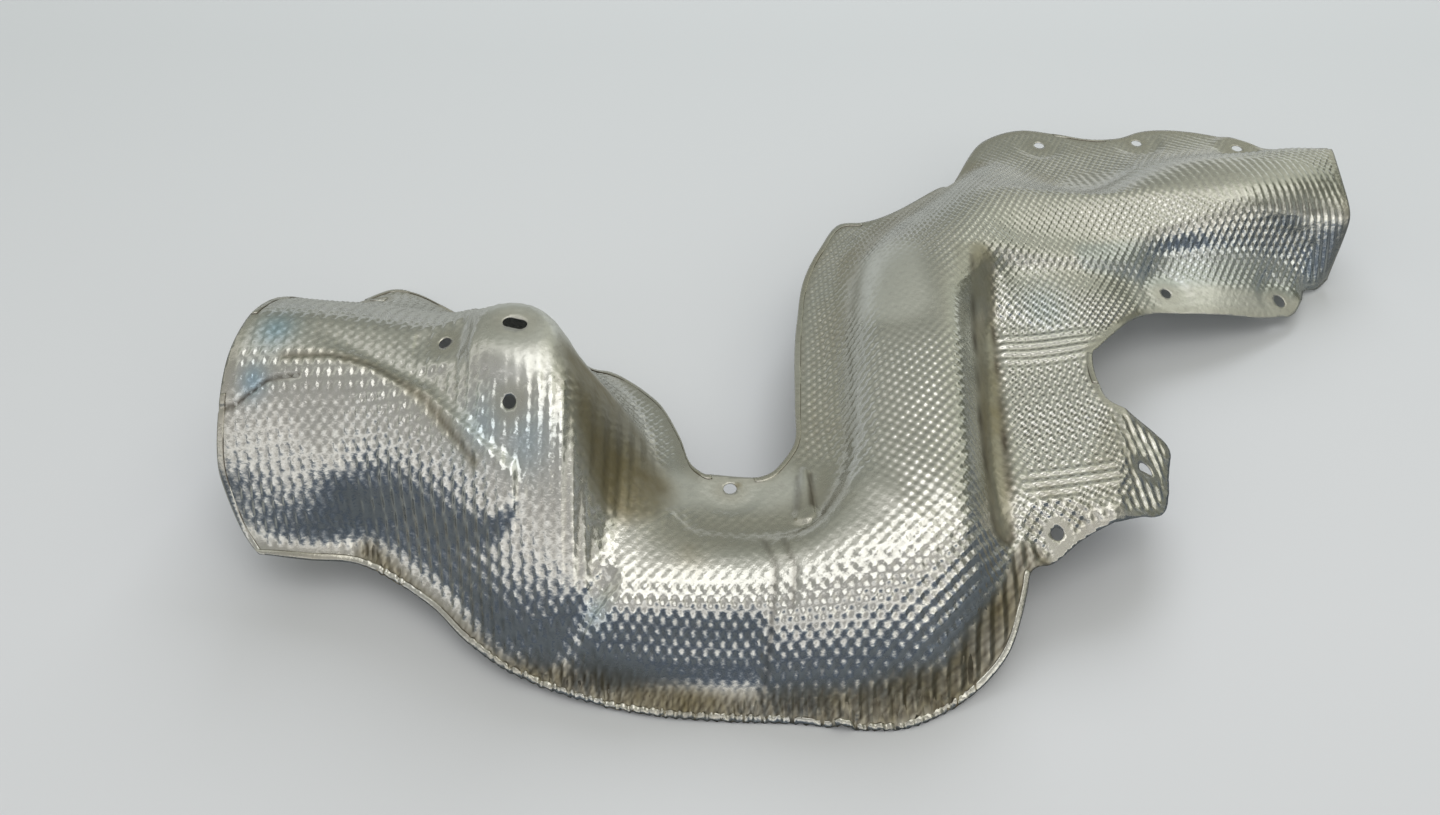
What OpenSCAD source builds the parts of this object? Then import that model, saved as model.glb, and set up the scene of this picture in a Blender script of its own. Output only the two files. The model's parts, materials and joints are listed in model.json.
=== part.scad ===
// Exhaust heat shield: one pressed and hemmed aluminium sheet that follows a bent pipe.
// It lies on a table as it comes to rest, with its hollow side down. All sizes are millimetres.

/* [Path of the pipe] */
// From the open mouth to the slotted seat on the hump
mouth_len = 160; // [140:1:200]
// From the slotted seat to the lower bend
run_len = 160; // [150:1:200]
// From the lower bend to the upper bend
riser_len = 210; // [190:1:260]
// From the upper bend to the tail end
branch_len = 300; // [280:1:360]

/* [Heights above the table] */
// Crown of the open mouth
mouth_h = 94; // [84:1:104]
// Slotted seat on top of the hump
hump_h = 110; // [102:1:122]
// Crown of the low run between the hump and the lower bend
run_h = 51; // [48:1:60]
// Crown of the riser between the two bends
riser_h = 76; // [68:1:84]
// Crown of the branch that leads to the tail
branch_h = 65; // [60:1:72]
// Flanges along the rear edge and beside the riser
deck_h = 45; // [41:1:47]
// Lift of the front rim under the open mouth
mouth_lift = 24; // [16:1:30]

/* [Sheet] */
// Thickness of the sheet over its knobs
sheet_t = 1.0; // [0.8:0.1:1.4]
// Width of the folded hem
hem_w = 3.5; // [2.5:0.1:5]
// Rise of the pressed bulge on the mouth
bulge_rise = 5; // [2:0.5:8]
// Depth of the stepped pocket in the front wall of the run
pocket_d = 5; // [2:0.5:7]
// Depth of the groove at the foot of the riser
groove_d = 2.2; // [1:0.2:4]
// Fall of the bent tab for each millimetre beyond its fold
tab_fall = 0.64; // [0.3:0.02:0.8]

/* [Fixings] */
// Small screw holes
small_hole_d = 6.6; // [5:0.1:7.5]
// Large screw holes
large_hole_d = 8.5; // [7:0.1:9.5]
// Length of the slot on the hump
slot_l = 12.5; // [10:0.5:16]
// Width of the slot on the hump
slot_w = 6.6; // [5:0.1:8]
// Width of the half-round vent in the tab
vent_w = 8.4; // [6:0.1:10]
// Radius of the flat seat pressed round each hole
seat_r = 12; // [10:0.5:14]
// Radius of the flat seat pressed round the slot
slot_seat_r = 16; // [14:0.5:18]

/* [Hidden] */
$fn = 48;

// Anchors in plan, from the inside corner of the lower bend: x to the tail, y to the rear
ELBOW = [0, 0];
HUMP = ELBOW + [-run_len, 40];
MOUTH = HUMP + [-mouth_len, 20];
BEND = ELBOW + [40, riser_len];
TAIL = BEND + [branch_len, 0];

// Each guide curve is a list of [station, x, y, z]; x and y are from an anchor
function at(anchor, keys) = [for (k = keys) [k[0], anchor[0] + k[1], anchor[1] + k[2], k[3]]];

// Front edge, from the mouth round the lower bend and the tab to the tail
lift = mouth_lift;
front_edge = concat(
  at(MOUTH, [[0, 30, -93, lift], [38, 55, -96, lift - 1], [76, 81, -97, lift - 4]]),
  at(HUMP, [[124, -42, -97, 14], [162, -23, -114, 10], [193, -4, -127, 7], [229, 13, -134, 5],
    [282, 30, -140, 3], [318, 47, -144, 2]]),
  at(ELBOW, [[361, -85, -109, 1], [396, -52, -111, 0], [422, -23, -112, 0], [447, 7, -115, 0],
    [464, 27, -114, 0], [483, 49, -105, 1], [501, 67, -93, 5], [517, 79, -80, 12],
    [530, 85, -67, 20], [541, 89, -55, 26], [549, 91, -48, 30], [561, 104, -42, 32],
    [576, 120, -31, 35], [587, 132, -26, 39], [604, 151, -19, deck_h], [616, 165, -12, deck_h],
    [640, 177, 18, deck_h]]),
  at(BEND, [[652, 141, -179, deck_h], [664, 133, -171, deck_h], [680, 118, -165, deck_h],
    [694, 108, -158, deck_h], [709, 106, -146, deck_h], [741, 108, -123, deck_h],
    [768, 113, -117, deck_h - 1], [794, 122, -107, 42], [857, 140, -88, 36], [902, 154, -78, 32],
    [929, 163, -74, 30], [992, 204, -67, 22]]),
  at(TAIL, [[1059, -52, -56, 10], [1082, -38, -49, 8], [1093, -30, -38, 7], [1106, -23, -26, 4],
    [1124, -12, -21, 1], [1144, -3, -14, 3]])
);

// Foot of the front wall; beside the riser it is the groove between the crown and the side flange
front_foot = concat(
  at(MOUTH, [[0, 23, -87, lift + 1], [38, 54, -90, lift + 1], [76, 83, -89, lift - 2]]),
  at(HUMP, [[124, -40, -89, 17], [193, -4, -120, 11], [229, 14, -128, 9], [282, 29, -133, 8],
    [318, 46, -137, 6]]),
  at(ELBOW, [[361, -84, -102, 6], [396, -52, -104, 5], [447, 5, -106, 5], [480, 41, -98, 7],
    [501, 58, -85, 12], [517, 68, -73, 18], [530, 73, -63, 25], [549, 78, -43, 34],
    [587, 78, -24, deck_h - 4], [640, 81, 5, deck_h - 1]]),
  at(BEND, [[697, 48, -151, deck_h], [759, 59, -102, deck_h + 2], [803, 86, -110, deck_h + 2],
    [857, 119, -94, deck_h], [897, 147, -62, 39], [933, 172, -38, 34], [992, 212, -31, 30],
    [1041, 239, -27, 22]]),
  at(TAIL, [[1071, -45, -25, 14], [1106, -26, -21, 9], [1144, -3, -13, 6]])
);

// Top of the steep part of the front wall
front_wall = concat(
  at(MOUTH, [[0, 14, -73, mouth_h - 56], [38, 56, -79, mouth_h - 48], [76, 86, -77, mouth_h - 50]]),
  at(HUMP, [[124, -37, -77, 38], [193, 0, -106, 42], [229, 19, -111, 42], [282, 34, -119, 34],
    [318, 48, -128, 32]]),
  at(ELBOW, [[361, -84, -88, run_h - 20], [396, -52, -88, run_h - 20], [447, -3, -89, 35],
    [480, 31, -81, 41], [501, 47, -71, 46], [517, 54, -63, 52], [530, 58, -56, 56],
    [549, 60, -47, 60], [587, 63, -24, 64], [640, 66, 6, riser_h - 10]]),
  at(BEND, [[697, 31, -158, riser_h - 8], [759, 40, -104, riser_h - 8], [803, 68, -73, 59],
    [857, 108, -67, 54], [897, 141, -44, branch_h - 13], [933, 164, -32, branch_h - 11],
    [992, 202, -20, branch_h - 9], [1041, 233, -11, branch_h - 13]]),
  at(TAIL, [[1071, -48, -8, 44], [1106, -25, -4, 38], [1144, 4, 2, 34]])
);

// Front shoulder of the crown
front_shoulder = concat(
  at(MOUTH, [[0, 9, -59, mouth_h - 34], [38, 56, -59, mouth_h - 30], [76, 88, -62, mouth_h - 26]]),
  at(HUMP, [[124, -33, -58, 72], [193, 1, -66, hump_h - 31], [229, 23, -83, 70],
    [282, 40, -108, run_h - 4], [318, 51, -115, run_h - 6]]),
  at(ELBOW, [[361, -84, -73, run_h - 6], [396, -52, -73, run_h - 6], [447, -7, -71, run_h],
    [480, 17, -64, 58], [501, 32, -56, 63], [517, 40, -48, 66], [530, 46, -41, 68],
    [549, 50, -32, 71], [587, 55, -6, riser_h - 3], [640, 58, 21, riser_h - 1]]),
  at(BEND, [[697, 22, -149, riser_h + 1], [759, 30, -95, riser_h + 2], [803, 57, -64, riser_h - 4],
    [857, 90, -53, 61], [897, 126, -35, branch_h - 7], [933, 164, -17, branch_h - 5],
    [992, 198, -9, branch_h - 3], [1041, 232, -4, branch_h - 5]]),
  at(TAIL, [[1071, -46, -2, 54], [1106, -23, 4, 48], [1144, 4, 8, 43]])
);

// Crown
crown = concat(
  at(MOUTH, [[0, 15, -19, mouth_h - 4], [38, 55, -25, mouth_h - 1], [76, 89, -30, mouth_h]]),
  at(HUMP, [[124, -35, -16, mouth_h + 3], [162, -17, -17, hump_h - 3], [193, 2, -19, hump_h + 2],
    [229, 26, -40, hump_h - 8], [282, 49, -72, run_h + 9], [318, 60, -88, run_h + 2]]),
  at(ELBOW, [[361, -81, -55, run_h], [396, -52, -55, run_h], [447, -16, -52, run_h + 6],
    [480, 3, -43, 63], [501, 13, -34, 66], [517, 19, -26, 69], [530, 23, -16, 70],
    [549, 25, -5, 71], [587, 29, 23, riser_h - 3], [640, 32, 52, riser_h - 1]]),
  at(BEND, [[697, -1, -114, riser_h + 1], [759, 13, -73, riser_h + 2], [803, 40, -43, riser_h + 3],
    [857, 75, -18, riser_h + 1], [897, 110, -11, branch_h + 7], [933, 143, -6, branch_h + 3],
    [992, 192, 5, branch_h + 2], [1041, 236, 13, branch_h + 1]]),
  at(TAIL, [[1071, -39, 18, 62], [1106, -19, 23, 57], [1144, 4, 35, 51]])
);

// Rear shoulder of the crown
rear_shoulder = concat(
  at(MOUTH, [[0, 27, 18, mouth_h + 8], [38, 48, 15, mouth_h + 8], [76, 80, 14, mouth_h + 5]]),
  at(HUMP, [[124, -43, 30, mouth_h + 4], [162, -20, 21, hump_h + 2], [193, -1, 17, hump_h + 4],
    [229, 22, 3, hump_h - 1], [282, 56, -29, run_h + 9], [318, 68, -61, run_h + 2]]),
  at(ELBOW, [[361, -74, -40, run_h], [396, -51, -43, run_h - 1], [447, -18, -39, 55],
    [480, -6, -28, 60], [501, 0, -18, 63], [517, 4, -9, 64], [530, 7, 1, 64], [549, 10, 13, 65],
    [587, 13, 42, riser_h - 9], [640, 16, 73, riser_h - 7]]),
  at(BEND, [[697, -17, -90, riser_h - 6], [759, -1, -55, riser_h - 6], [803, 30, -20, riser_h - 6],
    [857, 63, 6, 68], [897, 93, 2, branch_h], [933, 123, -4, branch_h - 1], [992, 173, 24, branch_h - 1],
    [1041, 209, 38, branch_h]]),
  at(TAIL, [[1071, -60, 43, 64], [1106, -26, 54, 60], [1144, 8, 62, 53]])
);

// Foot of the rear wall
rear_foot = concat(
  at(MOUTH, [[0, 28, 88, 20], [38, 44, 92, 14], [76, 64, 98, 8]]),
  at(HUMP, [[124, -60, 110, 6], [162, -32, 98, 8], [193, -8, 80, 13], [229, 18, 54, 22],
    [282, 58, 9, 32], [318, 71, -34, deck_h - 3]]),
  at(ELBOW, [[333, -86, -10, deck_h], [349, -79, -22, deck_h + 1], [364, -72, -30, deck_h + 1],
    [381, -55, -33, deck_h + 1], [411, -24, -34, deck_h + 2], [447, -15, -30, deck_h + 3],
    [480, -4, -12, deck_h + 3], [501, 1, 0, deck_h + 3], [517, 3, 12, deck_h + 3],
    [549, 2, 33, deck_h + 1], [587, 3, 66, deck_h + 1], [640, 7, 101, deck_h + 1]]),
  at(BEND, [[697, -22, -58, deck_h + 1], [759, -1, -20, deck_h + 2], [803, 31, 8, deck_h + 2],
    [857, 80, 57, deck_h + 2], [897, 101, 44, deck_h + 2], [933, 130, 26, deck_h + 2],
    [973, 156, 36, deck_h + 1], [992, 173, 54, deck_h], [1041, 225, 62, deck_h + 1]]),
  at(TAIL, [[1071, -48, 64, deck_h + 1], [1106, -20, 68, deck_h + 1], [1144, 8, 64, 50]])
);

// Rear edge, from behind the mouth past the hole in the tongue and up the riser to the tail
rear_edge = concat(
  at(MOUTH, [[0, 34, 117, 4], [38, 46, 119, 2]]),
  at(HUMP, [[72, -128, 142, 0], [86, -115, 150, 0], [105, -98, 146, 1], [124, -78, 133, 2],
    [136, -68, 126, 2], [170, -24, 111, 0], [193, -3, 96, 2], [229, 26, 62, 17], [251, 36, 56, 21],
    [279, 48, 45, 25], [301, 59, 32, 29], [320, 68, 19, 32]]),
  at(ELBOW, [[345, -81, 31, 38], [364, -74, 8, 43], [371, -69, 2, deck_h], [381, -64, 1, deck_h],
    [401, -44, -1, deck_h], [420, -36, 1, deck_h], [447, -29, 8, deck_h], [470, -24, 16, deck_h],
    [501, -21, 24, deck_h], [558, -20, 50, deck_h], [640, -16, 112, deck_h]]),
  at(BEND, [[676, -50, -61, deck_h], [704, -39, -33, deck_h], [726, -25, -9, deck_h],
    [741, -11, -7, deck_h], [810, 43, 29, deck_h], [844, 51, 32, deck_h], [902, 80, 81, deck_h],
    [943, 109, 94, deck_h], [970, 129, 90, deck_h], [1009, 161, 83, deck_h], [1021, 174, 85, deck_h],
    [1036, 189, 92, deck_h]]),
  at(TAIL, [[1088, -53, 84, deck_h], [1099, -43, 78, deck_h], [1110, -34, 72, deck_h + 1],
    [1144, 7, 66, 50]])
);

rails = [front_edge, front_foot, front_wall, front_shoulder, crown, rear_shoulder, rear_foot,
  rear_edge];

// Holes: [anchor, x, y, diameter, level]; a level seat is flat and upright, others follow the sheet
HOLES = [
  [HUMP, -36, 2, small_hole_d, false],
  [HUMP, 1, -38, small_hole_d, false],
  [ELBOW, -55, -8, small_hole_d, true],
  [ELBOW, 106, -30, small_hole_d, false],
  [BEND, 117, 76, small_hole_d, true],
  [TAIL, -116, 79, small_hole_d, true],
  [TAIL, -51, 70, small_hole_d, true],
  [TAIL, -129, -58, small_hole_d, false],
  [TAIL, -48, -44, large_hole_d, false]
];
SLOT = [HUMP, 1, 0, slot_w, true];
SLOT_TURN = -17;
VENT = [BEND, 120, -200, vent_w, false];

// Stations that fall on a corner or the end of a hem; the rest are spread evenly between them
MARKS = [0, hem_w, hem_w + 0.8, 61, 229, 381, 401, 430, 436, 442, 549, 616, 652, 709, 741, 844,
  902, 970, 1009, 1144];
STATION_STEP = 16;
ACROSS = 34;

// Smooth curve through the keys of a guide curve
function span(keys, s, i = 0) = (i >= len(keys) - 2 || s < keys[i + 1][0]) ? i : span(keys, s, i + 1);
function place(key) = [key[1], key[2], key[3]];
function chord(keys, i) = (place(keys[i + 1]) - place(keys[i])) / (keys[i + 1][0] - keys[i][0]);
function slope(keys, i) =
  i == 0 ? chord(keys, 0)
  : i == len(keys) - 1 ? chord(keys, i - 1)
  : let (
      before = keys[i][0] - keys[i - 1][0],
      after = keys[i + 1][0] - keys[i][0]
    ) (chord(keys, i - 1) * after + chord(keys, i) * before) / (before + after);
function rail_point(keys, s) =
  let (
    i = span(keys, s),
    h = keys[i + 1][0] - keys[i][0],
    t = (s - keys[i][0]) / h
  )
  (1 + 2 * t) * (1 - t) * (1 - t) * place(keys[i])
  + t * (1 - t) * (1 - t) * h * slope(keys, i)
  + t * t * (3 - 2 * t) * place(keys[i + 1])
  + t * t * (t - 1) * h * slope(keys, i + 1);

// Section across the pipe: a rounded line over the eight guide curves, then points evenly along it
FINE = 8;
function bend_point(c, i, t) =
  let (
    last = len(c) - 3,
    a = i == 0 ? c[0] : (c[i] + c[i + 1]) / 2,
    b = c[i + 1],
    d = i == last ? c[len(c) - 1] : (c[i + 1] + c[i + 2]) / 2
  )
  (1 - t) * (1 - t) * a + 2 * t * (1 - t) * b + t * t * d;
function rounded(c) = concat(
  [for (i = [0 : len(c) - 3]) for (k = [0 : FINE - 1]) bend_point(c, i, k / FINE)],
  [c[len(c) - 1]]
);
function lengths(p) = [for (i = 0, s = 0; i < len(p);
  s = s + (i < len(p) - 1 ? norm(p[i + 1] - p[i]) : 0), i = i + 1) s];
function axis_table(run, p, c) = [for (i = [0 : len(p) - 1]) [run[i], p[i][c]]];
HEM_STEP = 0.8;
function across(total) = concat(
  [0, hem_w],
  [for (k = [0 : ACROSS - 5])
    hem_w + HEM_STEP + (total - 2 * (hem_w + HEM_STEP)) * k / (ACROSS - 5)],
  [total - hem_w, total]
);
function section(s) =
  let (
    p = rounded([for (r = rails) rail_point(r, s)]),
    run = lengths(p),
    tx = axis_table(run, p, 0),
    ty = axis_table(run, p, 1),
    tz = axis_table(run, p, 2)
  )
  [for (d = across(run[len(run) - 1])) [lookup(d, tx), lookup(d, ty), lookup(d, tz)]];

// Pressed features: each gives the rise or fall of the sheet at a place in plan
function clamp(t) = max(0, min(1, t));
function ease(a, b, v) = let (t = clamp((v - a) / (b - a))) t * t * (3 - 2 * t);
function window(a, b, soft, v) = ease(a - soft, a + soft, v) * (1 - ease(b - soft, b + soft, v));
// Distance from q to a chain of [x, y, half width], less the half width there
function chain_gap(chain, q) = min([for (i = [0 : len(chain) - 2])
  let (
    a = [chain[i][0], chain[i][1]],
    b = [chain[i + 1][0], chain[i + 1][1]],
    t = clamp(((q - a) * (b - a)) / ((b - a) * (b - a)))
  )
  norm(q - a - t * (b - a)) - chain[i][2] - t * (chain[i + 1][2] - chain[i][2])]);
BULGE = [[-138, -4, 18], [-90, -28, 26], [-52, -41, 20], [-26, -60, 16], [-6, -72, 12]];
function bulge(q) = bulge_rise * (1 - ease(-5, 6, chain_gap(BULGE, q - HUMP)));
POCKET_END = -40;
function pocket(q) = -pocket_d * window(HUMP[0] + 46, ELBOW[0] + POCKET_END, 6, q[0])
  * window(-101, -80, 7, q[1] - ELBOW[1]);
GROOVE = [[80, -34, 0], [79, 0, 0], [88, 70, 0]];
GROOVE_TOP = [56, -80, 0];
groove_line = concat([for (g = GROOVE) g + [ELBOW[0], ELBOW[1], 0]],
  [GROOVE_TOP + [BEND[0], BEND[1], 0]]);
function groove(q) = -groove_d * (1 - ease(0, 16, chain_gap(groove_line, q)));
// The tab bends down beyond a fold line between these two places
FOLD_A = BEND + [115, -168];
FOLD_B = BEND + [92, -242];
function beyond_fold(q) =
  let (d = (FOLD_A - FOLD_B) / norm(FOLD_A - FOLD_B))
  max(0, (q - FOLD_B) * [d[1], -d[0]]) * (1 - ease(-168, -150, q[1] - BEND[1]));
function tab(q) = -tab_fall * beyond_fold(q);
// A small arch in the front rim
ARCH = [-3, -114];
ARCH_RISE = 3;
function rim_arch(q) = ARCH_RISE * (1 - ease(1, 7, abs(q[0] - ELBOW[0] - ARCH[0])))
  * (1 - ease(ARCH[1] + 4, ARCH[1] + 14, q[1] - ELBOW[1]));
// A tapered dart on the tongue
DART = [[-18, 2, 1], [-19, -28, 5]];
DART_RISE = 3;
function dart(q) = DART_RISE * (1 - ease(-2, 3, chain_gap(DART, q - ELBOW)));
function pressed(q) = bulge(q) + pocket(q) + groove(q) + tab(q) + rim_arch(q) + dart(q);

stations = concat([for (m = [0 : len(MARKS) - 2])
  let (n = ceil((MARKS[m + 1] - MARKS[m]) / STATION_STEP))
  for (k = [0 : n - 1]) MARKS[m] + (MARKS[m + 1] - MARKS[m]) * k / n], [MARKS[len(MARKS) - 1]]);
NS = len(stations);
raw = [for (s = stations) [for (p = section(s)) [p[0], p[1], p[2] + pressed([p[0], p[1]])]]];

// Upward normal of a grid of points at row i, column j
function normal(g, i, j) =
  let (
    a = g[min(i + 1, NS - 1)][j] - g[max(i - 1, 0)][j],
    b = g[i][min(j + 1, ACROSS - 1)] - g[i][max(j - 1, 0)],
    n = cross(a, b)
  ) n / norm(n);

// Seat of a hole: [x, y, height, slope along x, slope along y, radius, unit normal]
VENT_SEAT_R = 10;
function plan_gap(p, x, y) = norm([p[0] - x, p[1] - y]);
function nearest_row(x, y) =
  let (d = [for (row = raw) min([for (p = row) plan_gap(p, x, y)])]) search(min(d), d)[0];
function nearest_col(row, x, y) =
  let (d = [for (p = row) plan_gap(p, x, y)]) search(min(d), d)[0];
function seat(h, r) =
  let (
    x = h[0][0] + h[1],
    y = h[0][1] + h[2],
    i = nearest_row(x, y),
    j = nearest_col(raw[i], x, y),
    own = normal(raw, i, j),
    n = h[4] ? [0, 0, 1] : own,
    z = raw[i][j][2] + (own[0] * (raw[i][j][0] - x) + own[1] * (raw[i][j][1] - y)) / own[2]
  ) [x, y, z, -n[0] / n[2], -n[1] / n[2], r, n];
seats = concat([for (h = HOLES) seat(h, seat_r)], [seat(SLOT, slot_seat_r), seat(VENT, VENT_SEAT_R)]);
SEAT_BLEND = 7;
function seat_share(s, p) = 1 - ease(s[5], s[5] + SEAT_BLEND, plan_gap(p, s[0], s[1]));
function seat_height(s, p) = s[2] + s[3] * (p[0] - s[0]) + s[4] * (p[1] - s[1]);
function seated(p, k = 0) = k == len(seats) ? p
  : let (share = seat_share(seats[k], p))
    seated([p[0], p[1], p[2] + share * (seat_height(seats[k], p) - p[2])], k + 1);
skin = [for (row = raw) [for (p = row) seated(p)]];

// Hems are folded over on top, so the edge strip there is two sheets thick
FRONT_HEMS = [[0, 549], [709, 741]];
REAR_HEMS = [[0, 381], [401, 741], [970, 1009]];
function in_spans(spans, s) = max([for (h = spans) s >= h[0] && s <= h[1] ? 1 : 0]);
function mouth_hem(p) = p[1] - MOUTH[1] < -36 || p[1] - MOUTH[1] > 2 ? 1 : 0;
function hem(i, j) = max(
  j <= 1 ? in_spans(FRONT_HEMS, stations[i]) : 0,
  j >= ACROSS - 2 ? in_spans(REAR_HEMS, stations[i]) : 0,
  i <= 1 ? mouth_hem(skin[i][j]) : 0
);
top_skin = [for (i = [0 : NS - 1]) for (j = [0 : ACROSS - 1])
  skin[i][j] + sheet_t * hem(i, j) * normal(skin, i, j)];
low_skin = [for (i = [0 : NS - 1]) for (j = [0 : ACROSS - 1])
  skin[i][j] - sheet_t * normal(skin, i, j)];
all_points = concat(top_skin, low_skin);

// The frame: the middle of the part's box, on the table
function lowest(c) = min([for (p = all_points) p[c]]);
function highest(c) = max([for (p = all_points) p[c]]);
ORIGIN = [(lowest(0) + highest(0)) / 2, (lowest(1) + highest(1)) / 2, lowest(2)];

function id(side, i, j) = side * NS * ACROSS + i * ACROSS + j;
function cell(a, b, c, d) = [[a, b, c], [a, c, d]];
cells = [for (i = [0 : NS - 2]) for (j = [0 : ACROSS - 2]) each concat(
  cell(id(0, i, j), id(0, i, j + 1), id(0, i + 1, j + 1), id(0, i + 1, j)),
  cell(id(1, i, j), id(1, i + 1, j), id(1, i + 1, j + 1), id(1, i, j + 1)))];
side_cells = [for (i = [0 : NS - 2]) each concat(
  cell(id(0, i, 0), id(0, i + 1, 0), id(1, i + 1, 0), id(1, i, 0)),
  cell(id(0, i, ACROSS - 1), id(1, i, ACROSS - 1), id(1, i + 1, ACROSS - 1), id(0, i + 1, ACROSS - 1)))];
end_cells = [for (j = [0 : ACROSS - 2]) each concat(
  cell(id(0, 0, j), id(1, 0, j), id(1, 0, j + 1), id(0, 0, j + 1)),
  cell(id(0, NS - 1, j), id(0, NS - 1, j + 1), id(1, NS - 1, j + 1), id(1, NS - 1, j)))];

// Puts a cutter on a seat, along the seat's normal
module on_seat(s) {
  translate([s[0], s[1], s[2]]) rotate([0, acos(s[6][2]), atan2(s[6][1], s[6][0])]) children();
}
CUT = 6;
module hole_cut(d) {
  translate([0, 0, -CUT]) cylinder(d = d, h = 2 * CUT);
}
module slot_cut() {
  gap = slot_l - slot_w;
  rotate([0, 0, SLOT_TURN]) {
    translate([-gap / 2, 0, 0]) hole_cut(slot_w);
    translate([gap / 2, 0, 0]) hole_cut(slot_w);
    translate([-gap / 2, -slot_w / 2, -CUT]) cube([gap, slot_w, 2 * CUT]);
  }
}
module vent_cut(s) {
  turn = atan2(s[6][1], s[6][0]);
  rotate([0, 0, -turn]) intersection() {
    hole_cut(vent_w);
    translate([-vent_w, -vent_w / 6, -CUT]) cube([2 * vent_w, vent_w, 2 * CUT]);
  }
}

module shield() {
  color("silver") translate(-ORIGIN) difference() {
    polyhedron(all_points, concat(cells, side_cells, end_cells), convexity = 10);
    for (k = [0 : len(HOLES) - 1]) on_seat(seats[k]) hole_cut(HOLES[k][3]);
    on_seat(seats[len(HOLES)]) slot_cut();
    on_seat(seats[len(HOLES) + 1]) vent_cut(seats[len(HOLES) + 1]);
  }
}

shield();
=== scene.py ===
# %% [markdown]
# # Exhaust heat shield
# One sheet of embossed aluminium, pressed over a pipe that bends twice.
# The script rebuilds the sheet as one fine mesh whose knobs are real relief, lays the folded
# hems along its edge, and photographs it on a pale table under soft light.
# All sizes are in millimetres until a mesh is made, and then in metres.

import json
import math
from types import SimpleNamespace

import bpy
import numpy as np
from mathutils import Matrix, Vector
from mathutils.bvhtree import BVHTree
from mathutils.geometry import delaunay_2d_cdt
from mathutils.kdtree import KDTree

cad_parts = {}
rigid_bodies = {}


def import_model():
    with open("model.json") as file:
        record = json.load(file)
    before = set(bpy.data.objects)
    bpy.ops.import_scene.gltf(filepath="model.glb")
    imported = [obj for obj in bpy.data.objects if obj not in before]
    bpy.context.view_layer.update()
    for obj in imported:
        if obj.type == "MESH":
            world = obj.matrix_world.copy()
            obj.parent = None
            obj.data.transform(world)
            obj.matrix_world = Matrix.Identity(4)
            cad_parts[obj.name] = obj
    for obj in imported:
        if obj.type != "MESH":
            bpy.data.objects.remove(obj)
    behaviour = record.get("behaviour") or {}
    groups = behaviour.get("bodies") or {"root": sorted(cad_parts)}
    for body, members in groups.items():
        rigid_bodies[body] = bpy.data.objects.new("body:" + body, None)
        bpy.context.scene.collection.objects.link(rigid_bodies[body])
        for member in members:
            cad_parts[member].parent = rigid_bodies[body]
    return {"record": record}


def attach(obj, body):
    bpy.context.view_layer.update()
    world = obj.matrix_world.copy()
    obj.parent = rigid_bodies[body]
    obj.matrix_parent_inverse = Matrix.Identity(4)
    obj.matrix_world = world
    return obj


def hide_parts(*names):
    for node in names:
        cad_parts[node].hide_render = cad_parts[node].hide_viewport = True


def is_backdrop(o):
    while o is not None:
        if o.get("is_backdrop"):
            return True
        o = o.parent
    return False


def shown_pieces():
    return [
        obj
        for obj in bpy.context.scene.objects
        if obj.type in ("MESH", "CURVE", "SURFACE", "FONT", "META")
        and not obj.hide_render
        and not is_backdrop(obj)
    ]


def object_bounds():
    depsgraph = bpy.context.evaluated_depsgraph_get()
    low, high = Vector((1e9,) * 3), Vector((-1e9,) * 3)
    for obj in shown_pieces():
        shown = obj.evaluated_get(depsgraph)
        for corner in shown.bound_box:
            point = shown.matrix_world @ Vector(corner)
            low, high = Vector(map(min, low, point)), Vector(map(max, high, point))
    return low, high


for old in list(bpy.data.objects):
    bpy.data.objects.remove(old)
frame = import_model()
cad_low, cad_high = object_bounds()
mounts = {m["name"]: m for m in frame["record"]["mounts"]}
MM = 0.001
print("the packed part is", [round(v / MM, 1) for v in cad_high - cad_low], "mm")

# %% [markdown]
# ## The path of the pipe
# Five anchors mark the pipe in plan, counted from the inside corner of the lower bend.
# Heights are above the table. They are the same numbers that built the part. Places counted
# from an anchor are easy to read, and a bend keeps its shape when its anchor moves.

# %% Anchors and heights
ELBOW = np.array([0.0, 0.0])
HUMP = ELBOW + [-160, 40]
MOUTH = HUMP + [-160, 20]
BEND = ELBOW + [40, 210]
TAIL = BEND + [300, 0]
mouth_h, hump_h, run_h = 94, 110, 51
riser_h, branch_h, deck_h = 76, 65, 45
SHEET_T = 1.0


def at(anchor, keys):
    """Keys [station, x, y, z] with x and y counted from an anchor."""
    return [[s, anchor[0] + x, anchor[1] + y, z] for s, x, y, z in keys]


print("the pipe's path runs", TAIL[0] - MOUTH[0], "mm from the mouth to the tail")

# %% [markdown]
# ## Eight guide curves
# They run from the open mouth to the tail. Together they give the section of the sheet at
# every station: its front edge, the foot, wall and shoulder in front, the crown, and the
# shoulder, foot and edge behind. The shape could be sculpted, but a loft keeps measured places.

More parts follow.
